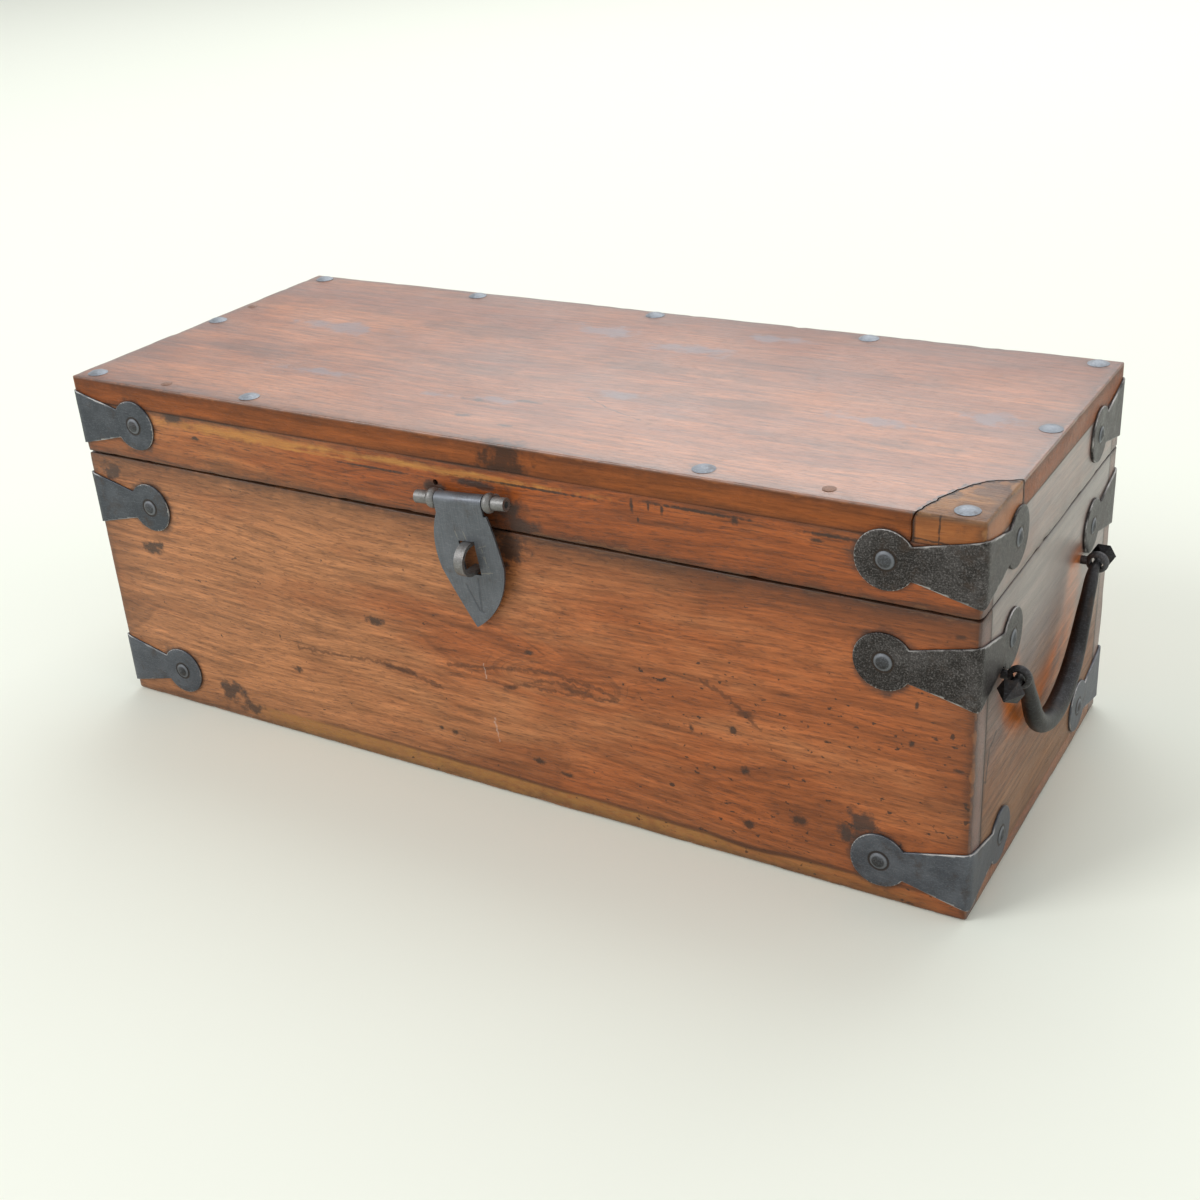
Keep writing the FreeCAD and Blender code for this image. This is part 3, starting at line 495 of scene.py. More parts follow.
def timber(name, block, heart, along="X", pale=PALE_WOOD, warm=WARM_WOOD, knot=NO_KNOT, warmth=None,
           streaks=0.75, gloss=0.5, coat=0.3, polished=None, marks=None):
    """Oiled old wood: its figure, its own marks, iron stain, darkening towards the arrises, grime close to
    them and a pale line on them that is partly rubbed wear and partly a painted highlight, then painted shade
    with grime in the seam.
    """
    material, shader = new_material(name)
    place = shader_node("TexCoord", tree=shader.id_data).outputs["Object"]
    x, y, level = parts(place)
    grain = place if along == "X" else shader_node("CombineXYZ", {0: y, 1: x, 2: level}).outputs[0]
    figure = applied(timber_figure, {
        "Place": grain, "Heart": heart, "Knot": knot[0], "Knot Reach": knot[1], "Pale": pale, "Warm": warm,
        "Dark": DARK_WOOD, "Warmth": warmth(place) if warmth else 0.0, "Streaks": streaks, "Pores": PORES})
    colour = marks(place, figure["Colour"]) if marks else figure["Colour"]
    wander = minus(even_cloud(place, 60.0, detail=4.0, roughness=0.65), 0.5)
    from_disc = total(applied(disc_distance, {"Place": place})["Distance"], times(wander, 0.016))
    cloudy = rising(from_disc, STRAP_DISC_RADIUS + IRON_CLOUD, STRAP_DISC_RADIUS - IRON_CLOUD / 2)
    colour = mixed(times(cloudy, 0.75), colour, IRON_STAIN_AND_SHADOW)
    distances = applied(block_distances, {"Place": place, "Low": block[0], "High": block[1]})
    ragged_arris = total(distances["Arris"], times(wander, 0.012))
    # Darker towards the arrises and grime close to them; the pale line right on each arris is partly rubbed
    # wear and partly a painted highlight.
    for reach, strength, paint in ((0.035, 0.35, DARK_WOOD), (0.008, 0.5, GRIME_AND_SHADE), (0.0018, 0.4, pale)):
        colour = mixed(times(rising(ragged_arris, reach, 0.0), strength), colour, paint)
    # Painted shade: both lips of the seam between lid and body are darkened like the shadow in the gap, with
    # some grime, and less on the inner parts of the lips.
    from_seam = far_from(level, SEAM_LEVEL)
    packed = rising(scaled(wander, 0.006, from_seam), 0.0022, 0.0006)
    smudged = rising(scaled(wander, 0.008, from_seam), 0.005, 0.0)
    broken = spread(even_cloud(place, 30.0, detail=5.0), 0.1, 0.5)
    seam_shade_and_grime = times(larger(times(packed, 0.95), times(smudged, 0.35)),
                    scaled(rising(distances["Side"], 0.004, 0.001), 0.55, broken))
    colour = mixed(seam_shade_and_grime, colour, GRIME_AND_SHADE)
    raw = rising(distances["Depth"], 0.006, 0.013)
    sheen = spread(cloud(place, (14.0, 14.0, 30.0), detail=4.0, roughness=0.6), 0.30, 0.48)
    waxed = minus(1.0, raw)
    if polished:
        waxed = times(waxed, polished(place))
        gloss = scaled(waxed, gloss, DULL_GLOSS)
    bump = shader_node("Bump", {"Height": figure["Height"], "Strength": 0.8, "Distance": 0.0004})
    filled(shader, {
        "Base Color": mixed(times(raw, 0.35), colour, RAW_WOOD), "Roughness": larger(sheen, times(raw, 0.7)),
        "Specular IOR Level": gloss, "Coat Weight": times(waxed, coat), "Coat Roughness": 0.28,
        "Normal": bump.outputs["Normal"]})
    return material


def body_board(node, material):
    """One board of the body, worn, in place of its plain node."""
    mesh = board_blank(node, body_block, BODY_SEAM)
    finished(mesh, node + "_worn", material, "chest", node)


def joint_line(distance, wander):
    """Dirt packed into a joint: a dark line with a softer edge."""
    line = rising(distance, 0.0015, 0.0005)
    soft = times(rising(total(distance, wander), 0.005, 0.0), 0.55)
    return larger(line, soft)


def board_joint(y, wander):
    """Dirt in the joints between the end boards and the long boards."""
    return joint_line(far_from(calc("ABSOLUTE", y), BOARD_JOINT_Y), wander)


def end_grain(place, colour):
    """On the two ends of a long board: greyed end grain that is partly a painted reflection, and dirt in the
    joint beside it.
    """
    x, y, _ = parts(place)
    wander = minus(even_cloud(place, 80.0, detail=4.0), 0.5)
    on_end = rising(calc("ABSOLUTE", x), body_high.x - 0.0020, body_high.x - 0.0008)
    # Grey on the end grain: partly real greying, partly a painted reflection.
    colour = mixed(times(on_end, 0.65), colour, WAX_BLOOM_AND_SHEEN)
    return mixed(times(board_joint(y, times(wander, 0.006)), on_end, 0.95), colour, GRIME_AND_SHADE)


def front_warmth(place):
    """The front is tan at its left and red-orange at its right."""
    return spread(parts(place)[0], -0.30, 0.22, -0.28, 0.20)


def front_marks(place, colour):
    """Sapwood along the bottom edge, dark swirls round two knots, old knocks, iron stains and a painted
    shadow of the hasp.
    """
    x, _, z = parts(place)
    wave = cloud(place, (9.0, 1.0, 30.0), detail=3.0)
    level = total(z, times(minus(wave, 0.5), 0.012))
    tail = rising(scaled(wave, 0.2, x), 0.40, 0.28)
    sap = times(rising(level, 0.0135, 0.0115), rising(x, -0.21, -0.15), tail)
    mottled = spread(cloud(place, (140.0, 1.0, 220.0), detail=4.0, roughness=0.7), 0.35, 1.1)
    colour = mixed(times(sap, mottled), colour, SAPWOOD)
    edge = far_from(level, 0.0128)
    rim = times(rising(edge, 0.0022, 0.0005), rising(x, -0.17, -0.1), spread(wave, 0.4, 0.9))
    colour = mixed(rim, colour, DARK_WOOD)
    swirls = scores(place, "XZ", (
        ((-0.142, 0.067), (-0.108, 0.069), (-0.072, 0.0715), (-0.050, 0.068), (-0.030, 0.064)),
        ((-0.023, 0.082), (0.000, 0.085), (0.043, 0.0925), (0.083, 0.0895), (0.094, 0.085)),
        ((0.0175, 0.0755), (0.030, 0.080), (0.060, 0.0815), (0.083, 0.083), (0.094, 0.085)),
        ((0.036, 0.0845), (0.058, 0.0875), (0.074, 0.087)),
        ((0.147, 0.111), (0.165, 0.103), (0.182, 0.0885)),
    ), width=0.0019, shake=0.006)
    colour = mixed(times(swirls, 0.6), colour, DARK_WOOD)
    cores = blots(place, "XZ", (
        (0.068, 0.0845, 0.013, 0.0022), (0.021, 0.0765, 0.006, 0.0022), (-0.060, 0.0700, 0.016, 0.0022),
        (0.172, 0.0960, 0.008, 0.0026),
    ), ragged=0.45, fineness=150.0)
    colour = mixed(times(cores, 0.8), colour, DARK_WOOD)
    knocks = blots(place, "XZ", (
        (-0.076, 0.100, 0.009, 0.0035), (-0.145, 0.050, 0.004, 0.003), (-0.024, 0.034, 0.003, 0.002),
        (-0.034, 0.035, 0.002, 0.002), (0.036, 0.103, 0.003, 0.002), (0.037, 0.030, 0.004, 0.003),
        (0.055, 0.025, 0.006, 0.002), (0.166, 0.084, 0.003, 0.003), (0.173, 0.060, 0.003, 0.004),
        (0.174, 0.025, 0.005, 0.003), (0.205, 0.037, 0.006, 0.004), (0.140, 0.079, 0.002, 0.003),
        (0.269, 0.125, 0.0012, 0.003), (0.267, 0.102, 0.0020, 0.0026), (0.292, 0.092, 0.004, 0.0015),
        (0.290, 0.168, 0.004, 0.002), (-0.258, 0.116, 0.011, 0.005), (-0.252, 0.119, 0.006, 0.004),
    ), ragged=0.5, fineness=260.0)
    peppered = times(rising(x, 0.06, 0.14), rising(z, 0.150, 0.10))
    peppered = scaled(peppered, 0.055, cloud(place, (190.0, 190.0, 300.0), detail=3.0))
    knocks = larger(knocks, rising(peppered, 0.705, 0.76))
    colour = mixed(times(knocks, 0.85), colour, GRIME_AND_SHADE)
    # Iron stains, and just right of the hasp a painted shadow of the hasp on the board below the seam.
    stains_and_hasp_shadow = blots(place, "XZ", (
        (-0.209, 0.018, 0.012, 0.010), (-0.194, 0.010, 0.010, 0.006), (-0.283, 0.167, 0.010, 0.006),
        (0.029, 0.170, 0.013, 0.014), (0.241, 0.0475, 0.010, 0.008), (0.231, 0.036, 0.005, 0.009),
    ), ragged=0.9, fineness=120.0)
    colour = mixed(times(stains_and_hasp_shadow, 0.85), colour, IRON_STAIN_AND_SHADOW)
    under_seam = times(rising(z, 0.158, 0.174), rising(x, 0.0, 0.06), spread(wave, 0.15, 0.55))
    colour = mixed(under_seam, colour, DARK_WOOD)
    scratches = scores(place, "XZ", (
        ((0.003, 0.088), (0.004, 0.078)),
        ((0.007, 0.052), (0.009, 0.036)),
    ), width=0.0007, shake=0.004)
    return end_grain(place, mixed(times(scratches, 0.45), colour, BARE_SCRATCH))


front_timber = timber("front_timber", body_block, (0, 0.25, 0.02), warmth=front_warmth, gloss=0.3, coat=0.05,
                      knot=((0.055, -0.124, 0.086), (0.06, 1, 0.018)), marks=front_marks)
body_board("front_board", front_timber)


# ---------------------------------------------------------------------------
# Back board. The same wood nailed the same way, but turned to the wall: less handled, darker
# streaked and plainer.

back_timber = timber("back_timber", body_block, (0, -0.3, 0.16), streaks=0.85, gloss=0.4, coat=0.1,
                     marks=end_grain)
body_board("back_board", back_timber)


# ---------------------------------------------------------------------------
# End boards of the body. They stand between front and back on the bottom board, their grain
# running from front to back. Wax has bloomed grey on them, laid on thicker towards the top as a
# painted reflection; the bail has rubbed through it to bright orange wood; the foot is yellower
# and streaked.

RUBBED_WOOD = (0.62, 0.160, 0.016, 1)
HANDLE_MIDDLE_Y = -0.014
HANDLE_AXIS_Z = 0.1305
BAIL_DROP = 0.058             # from the bail's axis to its foot
BAIL_HALF_WIDTH = 0.069


def streaked(place, colour):
    """Streaks that run from front to back, through the wax."""
    streaks = cloud(place, (260.0, 9.0, 190.0), detail=6.0, roughness=0.75)
    return shaded(colour, spread(streaks, 0.40, 1.30))


def on_outside(x):
    """1 on the outer faces of the end boards and 0 within them."""
    return rising(calc("ABSOLUTE", x), body_high.x - 0.006, body_high.x - 0.002)


def end_marks(place, colour):
    """Wax bloom that is partly a painted reflection, the bail's rub mark, a yellower foot, joints to front
    and back, and a chip.
    """
    x, y, z = parts(place)
    outside = on_outside(x)
    wander = even_cloud(place, 40.0, detail=4.0)
    colour = mixed(times(rising(z, 0.085, 0.02), 0.4), colour, SAPWOOD)
    # Grey bloom, laid on thicker towards the top: partly real wax bloom, partly a painted reflection of the
    # bright surround.
    bloom_and_sheen = scaled(rising(scaled(wander, 0.06, z), 0.100, 0.175), 0.46, 0.24)
    colour = mixed(times(bloom_and_sheen, outside), colour, WAX_BLOOM_AND_SHEEN)
    side = calc("DIVIDE", minus(y, HANDLE_MIDDLE_Y), BAIL_HALF_WIDTH)
    drop = calc("DIVIDE", smaller(minus(z, HANDLE_AXIS_Z), 0.0), BAIL_DROP)
    swept = calc("SQRT", total(times(side, side), times(drop, drop)))
    from_sweep = scaled(wander, 0.16, far_from(swept, 0.86))
    patchy = spread(cloud(place, (90.0, 26.0, 60.0), detail=5.0, roughness=0.7), 0.45, 1.0)
    handled = scaled(rising(x, -0.1, 0.1), 0.55, 0.45)
    rub = times(rising(from_sweep, 0.42, 0.14), rising(z, 0.152, 0.134), patchy, outside, handled)
    colour = streaked(place, mixed(rub, colour, RUBBED_WOOD))
    packed = board_joint(y, times(minus(wander, 0.5), 0.008))
    chip = scores(place, "YZ", (
        ((-0.109, 0.080), (-0.104, 0.076), (-0.100, 0.094), (-0.090, 0.099)),
        ((0.084, 0.066), (0.084, 0.150)),
    ), width=0.0014, shake=0.004)
    return mixed(times(larger(packed, chip), 0.95), colour, GRIME_AND_SHADE)


def waxed_part(place):
    """Wax lies thick near the top of the end and thins out below the handle."""
    _, y, z = parts(place)
    return rising(scaled(y, 0.2, z), 0.075, 0.165)


end_timber = timber("end_timber", body_block, (0, 0.1, 0.3), along="Y", pale=(0.34, 0.155, 0.062, 1),
                    warm=(0.22, 0.075, 0.025, 1), streaks=0.9, gloss=0.65, coat=0.6, polished=waxed_part,
                    marks=end_marks)
body_board("right_end_board", end_timber)
body_board("left_end_board", end_timber)


# ---------------------------------------------------------------------------
# Bottom board. Its long edges are hidden behind front and back, and its ends show under the
# end boards as a narrow strip.

floor_timber = timber("floor_timber", body_block, (0, 0.02, 0.2), streaks=0.9, gloss=0.4, coat=0.1)
body_board("bottom_board", floor_timber)


# ---------------------------------------------------------------------------
# Corner straps. Keyhole leaves cut by hand from 1.4 mm sheet iron, bent round each corner
# while hot and held by a rivet through the disc of each leg: three to a corner, one on the
# lid and two on the body. Left black from the fire; edges and high spots are rubbed bright.

STRAP_THICKNESS = 0.0014
STRAP_SEAT = 0.00005          # from the wood to the iron
STRAP_ROOT_HALF = 0.018       # half of its height at the corner
STRAP_NECK_HALF = 0.0093
STRAP_DISC_STEPS = 30
STRAP_PITCH = 0.0022          # squares that it is cut into, to take dints
STRAP_CUT_WANDER = 0.0003
STRAP_CUT_GRAIN = 55.0
STRAP_DINT = 0.00025
STRAP_DINT_GRAIN = 90.0
STRAP_RIM = 0.0004            # rounding of its outer edge
STRAP_CORNER_RADIUS = 0.0025  # of the wood that it bends round
STRAP_CREASE = math.radians(50)
BEND_INNER = STRAP_CORNER_RADIUS + STRAP_SEAT
BEND_HALF = math.pi / 4 * (BEND_INNER + STRAP_THICKNESS / 2)
RIVET_HEAD_RADIUS = 0.005


def pulled_out(mesh, faces, way):
    """Extrudes faces along a way."""
    grown = bmesh.ops.extrude_face_region(mesh, geom=faces)["geom"]
    verts = [item for item in grown if isinstance(item, bmesh.types.BMVert)]
    bmesh.ops.translate(mesh, verts=verts, vec=way)


def strap_blank():
    """The strap's flat blank: run along X from the corner at 0, width along Y, thickness up Z."""
    mesh = bmesh.new()
    disc = Vector((STRAP_DISC_RUN, 0, 0))
    neck_run = STRAP_DISC_RUN - math.sqrt(STRAP_DISC_RADIUS ** 2 - STRAP_NECK_HALF ** 2)
    root = mesh.verts.new((0, STRAP_ROOT_HALF, 0))
    neck = mesh.verts.new((neck_run, STRAP_NECK_HALF, 0))
    mesh.edges.new((root, neck))
    turn = 2 * math.pi - 2 * math.asin(STRAP_NECK_HALF / STRAP_DISC_RADIUS)
    bmesh.ops.spin(mesh, geom=[neck], cent=disc, axis=(0, 0, 1), angle=-turn, steps=STRAP_DISC_STEPS,
                   use_merge=False)
    mesh.verts.ensure_lookup_table()
    far_neck = mesh.verts[-1]
    mesh.edges.new((far_neck, mesh.verts.new((0, -STRAP_ROOT_HALF, 0))))
    bmesh.ops.mirror(mesh, geom=mesh.verts[:] + mesh.edges[:], axis="X", merge_dist=1e-6)
    bmesh.ops.remove_doubles(mesh, verts=mesh.verts, dist=1e-6)
    bmesh.ops.contextual_create(mesh, geom=mesh.edges[:])
    pulled_out(mesh, mesh.faces[:], (0, 0, STRAP_THICKNESS))
    bmesh.ops.recalc_face_normals(mesh, faces=mesh.faces[:])
    mesh.normal_update()
    rim = [edge for edge in mesh.edges
           if all(vert.co.z > STRAP_THICKNESS / 2 for vert in edge.verts)
           and {round(face.normal.z) for face in edge.link_faces} == {0, 1}]
    bmesh.ops.bevel(mesh, geom=rim, offset=STRAP_RIM, offset_type="OFFSET", segments=2, profile=0.5,
                    affect="EDGES", material=-1)
    diced(mesh, STRAP_PITCH)
    return mesh


def on_corner(flat, level):
    """Where a point of the flat blank lies on the front right corner."""
    corner_x = body_high.x - STRAP_CORNER_RADIUS
    corner_y = body_low.y + STRAP_CORNER_RADIUS
    radius = BEND_INNER + flat.z
    if flat.x < -BEND_HALF:
        return Vector((corner_x + flat.x + BEND_HALF, corner_y - radius, level + flat.y))
    if flat.x > BEND_HALF:
        return Vector((corner_x + radius, corner_y + flat.x - BEND_HALF, level + flat.y))
    turn = math.pi / 4 * (1 + flat.x / BEND_HALF)
    return Vector((corner_x + radius * math.sin(turn), corner_y - radius * math.cos(turn), level + flat.y))


def strap(node, body, side_x, side_y, material, seed):
    """One strap on its corner, its edges cut a little unevenly and its face dinted."""
    mesh = strap_blank()
    level = node_level(node)
    rubbed = mesh.verts.layers.float.new("rubbed_edge")
    mesh.normal_update()
    shift = Vector((seed * 3.1, seed * 1.7, seed * 0.9))
    for vert in mesh.verts:
        flat = vert.co.copy()
        on_rim = flat.z > STRAP_THICKNESS / 2 and vert.normal.z < 0.98
        vert[rubbed] = 1.0 if on_rim else 0.0
        wander = noise.noise_vector(flat * STRAP_CUT_GRAIN + shift) * STRAP_CUT_WANDER
        flat.x += wander.x
        flat.y += wander.y
        if flat.z > STRAP_THICKNESS / 2:
            flat.z -= STRAP_DINT * (0.5 + 0.5 * noise.noise(flat * STRAP_DINT_GRAIN + shift))
        place = on_corner(flat, level)
        vert.co = Vector((side_x * place.x, -side_y * place.y, place.z))
    finished(mesh, node + "_forged", material, body, node, crease=STRAP_CREASE)


def make_forged_iron():
    """Scale, speckle, scratches and hammer dints of black iron."""
    group, takes, gives = effect("forged iron", {
        "Place": "Vector", "Dark": "Color", "Pale": "Color", "Rust": "Color", "Speckle": "Float",
        "Bright": "Float",
    }, {"Colour": "Color", "Roughness": "Float", "Height": "Float"})
    place = takes["Place"]
    patches = even_cloud(place, 48.0, detail=5.0, roughness=0.65)
    grit = even_cloud(place, 1100.0, detail=3.0, roughness=0.7)
    dints = even_cloud(place, 170.0, detail=2.0)
    scratch = cloud(place, (130.0, 340.0, 700.0), detail=2.0)
    scratch = rising(far_from(scratch, 0.5), 0.016, 0.003)
    share = scaled(rising(patches, 0.35, 0.75), 0.30, takes["Bright"])
    specks = times(rising(grit, 0.46, 0.74), takes["Speckle"])
    share = total(share, larger(specks, times(scratch, 0.3)))
    share = shader_node("Clamp", {"Value": minus(share, 0.12)}).outputs[0]
    colour = mixed(share, takes["Dark"], takes["Pale"])
    rust = even_cloud(place, 75.0, detail=5.0, roughness=0.7)
    colour = mixed(times(rising(rust, 0.52, 0.72), 0.55), colour, takes["Rust"])
    height = scaled(scratch, -0.1, scaled(grit, 0.2, dints))
    filled(gives, {"Colour": colour, "Roughness": spread(patches, 0.34, 0.56), "Height": height})
    return group


forged_iron = make_forged_iron()

BLACK_SCALE = (0.022, 0.019, 0.018, 1)
BLUE_SCALE_AND_SHADE = (0.050, 0.056, 0.067, 1)
WORN_GREY_AND_HIGHLIGHT = (0.215, 0.23, 0.255, 1)
BARE_STEEL = (0.48, 0.47, 0.46, 1)
RUST = (0.055, 0.036, 0.026, 1)


def iron(name, dark, pale=WORN_GREY_AND_HIGHLIGHT, bright=0.2, speckle=0.5, metallic=0.7, depth=0.0004, marks=None):
    """Forged iron, more or less bright, with its own marks."""
    material, shader = new_material(name)
    place = shader_node("TexCoord", tree=shader.id_data).outputs["Object"]
    surface = applied(forged_iron, {"Place": place, "Dark": dark, "Pale": pale, "Rust": RUST,
                                    "Bright": bright, "Speckle": speckle})
    colour, height = surface["Colour"], surface["Height"]
    if marks:
        colour, height = marks(place, colour, height)
    bump = shader_node("Bump", {"Height": height, "Strength": 0.6, "Distance": depth})
    filled(shader, {"Base Color": colour, "Roughness": surface["Roughness"], "Metallic": metallic,
                    "Normal": bump.outputs["Normal"]})
    return material


def strap_marks(place, colour, height):
    """Edges rubbed bright in places, and dirt packed round each rivet's head."""
    rubbed = shader_node("Attribute", tree=place.id_data, attribute_name="rubbed_edge").outputs["Fac"]
    broken = rising(cloud(place, (50.0, 50.0, 90.0)), 0.40, 0.62)
    rubbed = times(rising(rubbed, 0.45, 0.95), broken)
    colour = mixed(times(rubbed, 0.75), colour, BARE_STEEL)
    from_rivet = applied(disc_distance, {"Place": place})["Distance"]
    from_head = far_from(from_rivet, RIVET_HEAD_RADIUS + 0.0007)
    dirt = rising(from_head, 0.0011, 0.0002)
    colour = mixed(times(dirt, 0.85), colour, GRIME_AND_SHADE)
    return colour, scaled(dirt, -0.6, height)


speckled_iron = iron("speckled_iron", BLACK_SCALE, pale=(0.235, 0.220, 0.218, 1), bright=0.06, speckle=0.62,
                     marks=strap_marks)
dim_iron = iron("dim_iron", BLUE_SCALE_AND_SHADE, bright=0.07, speckle=0.18, marks=strap_marks)
blue_iron = iron("blue_iron", (0.050, 0.056, 0.070, 1), bright=0.23, speckle=0.22, marks=strap_marks)

CORNERS = {"front_left": (-1, -1), "front_right": (1, -1), "back_left": (-1, 1), "back_right": (1, 1)}

for number, (corner_name, (side_x, side_y)) in enumerate(CORNERS.items()):
    for row, (row_name, body) in enumerate(STRAP_ROWS):
        finish = blue_iron if row == 2 else dim_iron if side_x < 0 else speckled_iron
        strap(row_name + corner_name, body, side_x, side_y, finish, 1 + number + len(CORNERS) * row)


# ---------------------------------------------------------------------------
# Rivets of the straps and hinges. Soft iron, each head struck to a low dome that stays dark in
# its middle, with a pale ring round its rim that is partly wear and partly a painted highlight.

def given(node, material):
    """A CAD node that keeps its own shape and takes a finish."""
    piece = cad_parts[node]
    piece.data.materials.clear()
    piece.data.materials.append(material)


def rivet_wear_and_highlight(place, colour, height):
    """Dark struck middles inside a pale ring at the rim, partly worn bright and partly a painted highlight.
    """
    from_middle = applied(disc_distance, {"Place": place})["Distance"]
    from_rim = far_from(from_middle, RIVET_HEAD_RADIUS - 0.0004)
    # Pale ring at the rim: partly wear, partly a painted highlight.
    rim = times(rising(from_rim, 0.0007, 0.0001), 0.6)
    return mixed(rim, colour, WORN_GREY_AND_HIGHLIGHT), height


rivet_iron = iron("rivet_iron", (0.034, 0.034, 0.036, 1), bright=0.12, speckle=0.3, marks=rivet_wear_and_highlight)
for node in ("lid_strap_rivets", "body_strap_rivets", "hinge_lid_rivets", "hinge_body_rivets"):
    given(node, rivet_iron)


# ---------------------------------------------------------------------------
# Floor nails. Short nails driven up through the bottom board into the end boards, where damp
# has rusted them in.

rusty_iron = iron("rusty_iron", (0.05, 0.03, 0.02, 1), pale=(0.16, 0.10, 0.07, 1), bright=0.3, metallic=0.4)
given("floor_nails", rusty_iron)


# ---------------------------------------------------------------------------
# Handles. A forged bail hung in two split-pin eyes on each end, near-black with faint grey
# mottling all over, with a faceted finial outside each eye.

bail_iron = iron("bail_iron", (0.016, 0.015, 0.015, 1), pale=(0.14, 0.145, 0.16, 1), bright=0.05,
                 speckle=0.15)
eye_iron = iron("eye_iron", (0.020, 0.019, 0.019, 1), pale=(0.20, 0.20, 0.21, 1), bright=0.15, speckle=0.3)
for side in ("right", "left"):
    given("handle_bail_" + side, bail_iron)
    for place_name in ("front", "back"):
        given("handle_eye_" + side + "_" + place_name, eye_iron)


# ---------------------------------------------------------------------------
# Lid rails. The frame under the lid's top, front and back long, ends between them. The front
# one has a pale streak under the top, gouges, and an empty nail hole by the hasp.

lid_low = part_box("lid_front_rail")[0]
lid_high = Vector((*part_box("lid_back_rail")[1].xy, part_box("lid_top_board")[1].z))
lid_block = (lid_low, lid_high)
LID_SEAM = lid_low.z
TOP_JOINT_Z = (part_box("lid_front_rail")[1].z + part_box("lid_top_board")[0].z) / 2
HASP_HOLE = Vector((-0.0175, 0, 0.2005))
HASP_HOLE_RADIUS = 0.0018
HASP_HOLE_DEPTH = 0.007
PALE_STREAK = (0.56, 0.25, 0.055, 1)


def lid_board(node, material, mesh=None):
    """One board of the lid, worn, in place of its plain node."""
    if mesh is None:
        mesh = board_blank(node, lid_block, LID_SEAM)
    finished(mesh, node + "_worn", material, "lid", node)


def drilled_rail():
    """The front rail, with the old nail hole sunk into its face."""
    mesh = board_blank("lid_front_rail", lid_block, LID_SEAM)
    outside = [vert for vert in mesh.verts if vert.co.y < lid_low.y + CORNER_ROUND / 2]
    crossing = min(outside, key=lambda vert: (vert.co - HASP_HOLE).xz.length)
    bmesh.ops.dissolve_verts(mesh, verts=[crossing])
    mesh.normal_update()
    faces = [face for face in mesh.faces if face.normal.y < -0.9]
    mouth = min(faces, key=lambda face: (face.calc_center_bounds() - HASP_HOLE).xz.length)
    bmesh.ops.inset_individual(mesh, faces=[mouth], thickness=HASP_HOLE_RADIUS)
    bmesh.ops.subdivide_edges(mesh, edges=mouth.edges[:], cuts=1)
    for vert in mouth.verts:
        spoke = Vector((vert.co.x - HASP_HOLE.x, 0, vert.co.z - HASP_HOLE.z)).normalized()
        rim = HASP_HOLE + spoke * HASP_HOLE_RADIUS
        vert.co.x = rim.x
        vert.co.z = rim.z
    pulled_out(mesh, [mouth], (0, HASP_HOLE_DEPTH, 0))
    bmesh.ops.delete(mesh, geom=[mouth], context="FACES_ONLY")
    return mesh


def top_joint(place, colour):
    """Dirt packed into the joint under the top board, with pits along it."""
    z = parts(place)[2]
    wander = minus(cloud(place, (50.0, 50.0, 90.0), detail=5.0, roughness=0.7), 0.5)
    from_joint = far_from(z, TOP_JOINT_Z)
    packed = joint_line(from_joint, times(wander, 0.014))
    broken = spread(cloud(place, (14.0, 14.0, 60.0), detail=3.0), 0.35, 1.0)
    return mixed(times(packed, broken), colour, GRIME_AND_SHADE)


def rail_marks(place, colour):
    """A pale streak, gouges, iron stain round the hasp's eyes with a painted shadow of the hasp to its right,
    and a dark patch at the left.
    """
    streak = blots(place, "XZ", (
        (-0.155, 0.2085, 0.090, 0.0042), (-0.020, 0.2085, 0.110, 0.0026), (-0.110, 0.2050, 0.050, 0.0012),
    ), ragged=0.5, fineness=120.0)
    broken = spread(cloud(place, (35.0, 1.0, 420.0), detail=4.0, roughness=0.7), 0.25, 1.0)
    colour = mixed(times(streak, broken), colour, PALE_STREAK)
    gouges = blots(place, "XZ", (
        (0.110, 0.2075, 0.0015, 0.0045), (0.120, 0.2085, 0.0010, 0.0035), (0.128, 0.2085, 0.0013, 0.0040),
        (0.1135, 0.2000, 0.0010, 0.0020), (0.170, 0.2090, 0.0030, 0.0030), (-0.200, 0.2010, 0.0040, 0.0015),
        (0.215, 0.2060, 0.0040, 0.0015), (0.050, 0.2070, 0.0550, 0.0010), (0.150, 0.2105, 0.0450, 0.0012),
        (0.225, 0.2095, 0.0250, 0.0014), (-0.060, 0.2025, 0.0400, 0.0009),
    ), ragged=0.4, fineness=300.0)
    colour = mixed(times(gouges, 0.9), colour, GRIME_AND_SHADE)
    # Iron stain round the hasp's eyes and a dark patch at the left; the two spots to the right of the hasp
    # are a painted shadow of the hasp.
    stains_and_hasp_shadow = blots(place, "XZ", (
        (0.031, 0.191, 0.012, 0.011), (0.038, 0.184, 0.013, 0.007), (-0.018, 0.1975, 0.009, 0.006),
        (-0.218, 0.2130, 0.012, 0.004), (0.010, 0.2035, 0.024, 0.003),
    ), ragged=0.6, fineness=110.0)
    colour = mixed(times(stains_and_hasp_shadow, 0.9), colour, IRON_STAIN_AND_SHADOW)
    return end_grain(place, top_joint(place, colour))


def rail_warmth(place):
    """The rail is redder than the board below it, most of all at its right."""
    return spread(parts(place)[0], -0.05, 0.35, -0.28, 0.05)


rail_timber = timber("rail_timber", lid_block, (0, 0.2, 0.3), pale=(0.44, 0.175, 0.060, 1),
                     warm=(0.34, 0.085, 0.018, 1), warmth=rail_warmth, streaks=1.0, gloss=0.3,
                     coat=0.05, marks=rail_marks)
lid_board("lid_front_rail", rail_timber, drilled_rail())


def plain_rail_marks(place, colour):
    """The joint under the top and the rail's two ends."""
    return end_grain(place, top_joint(place, colour))


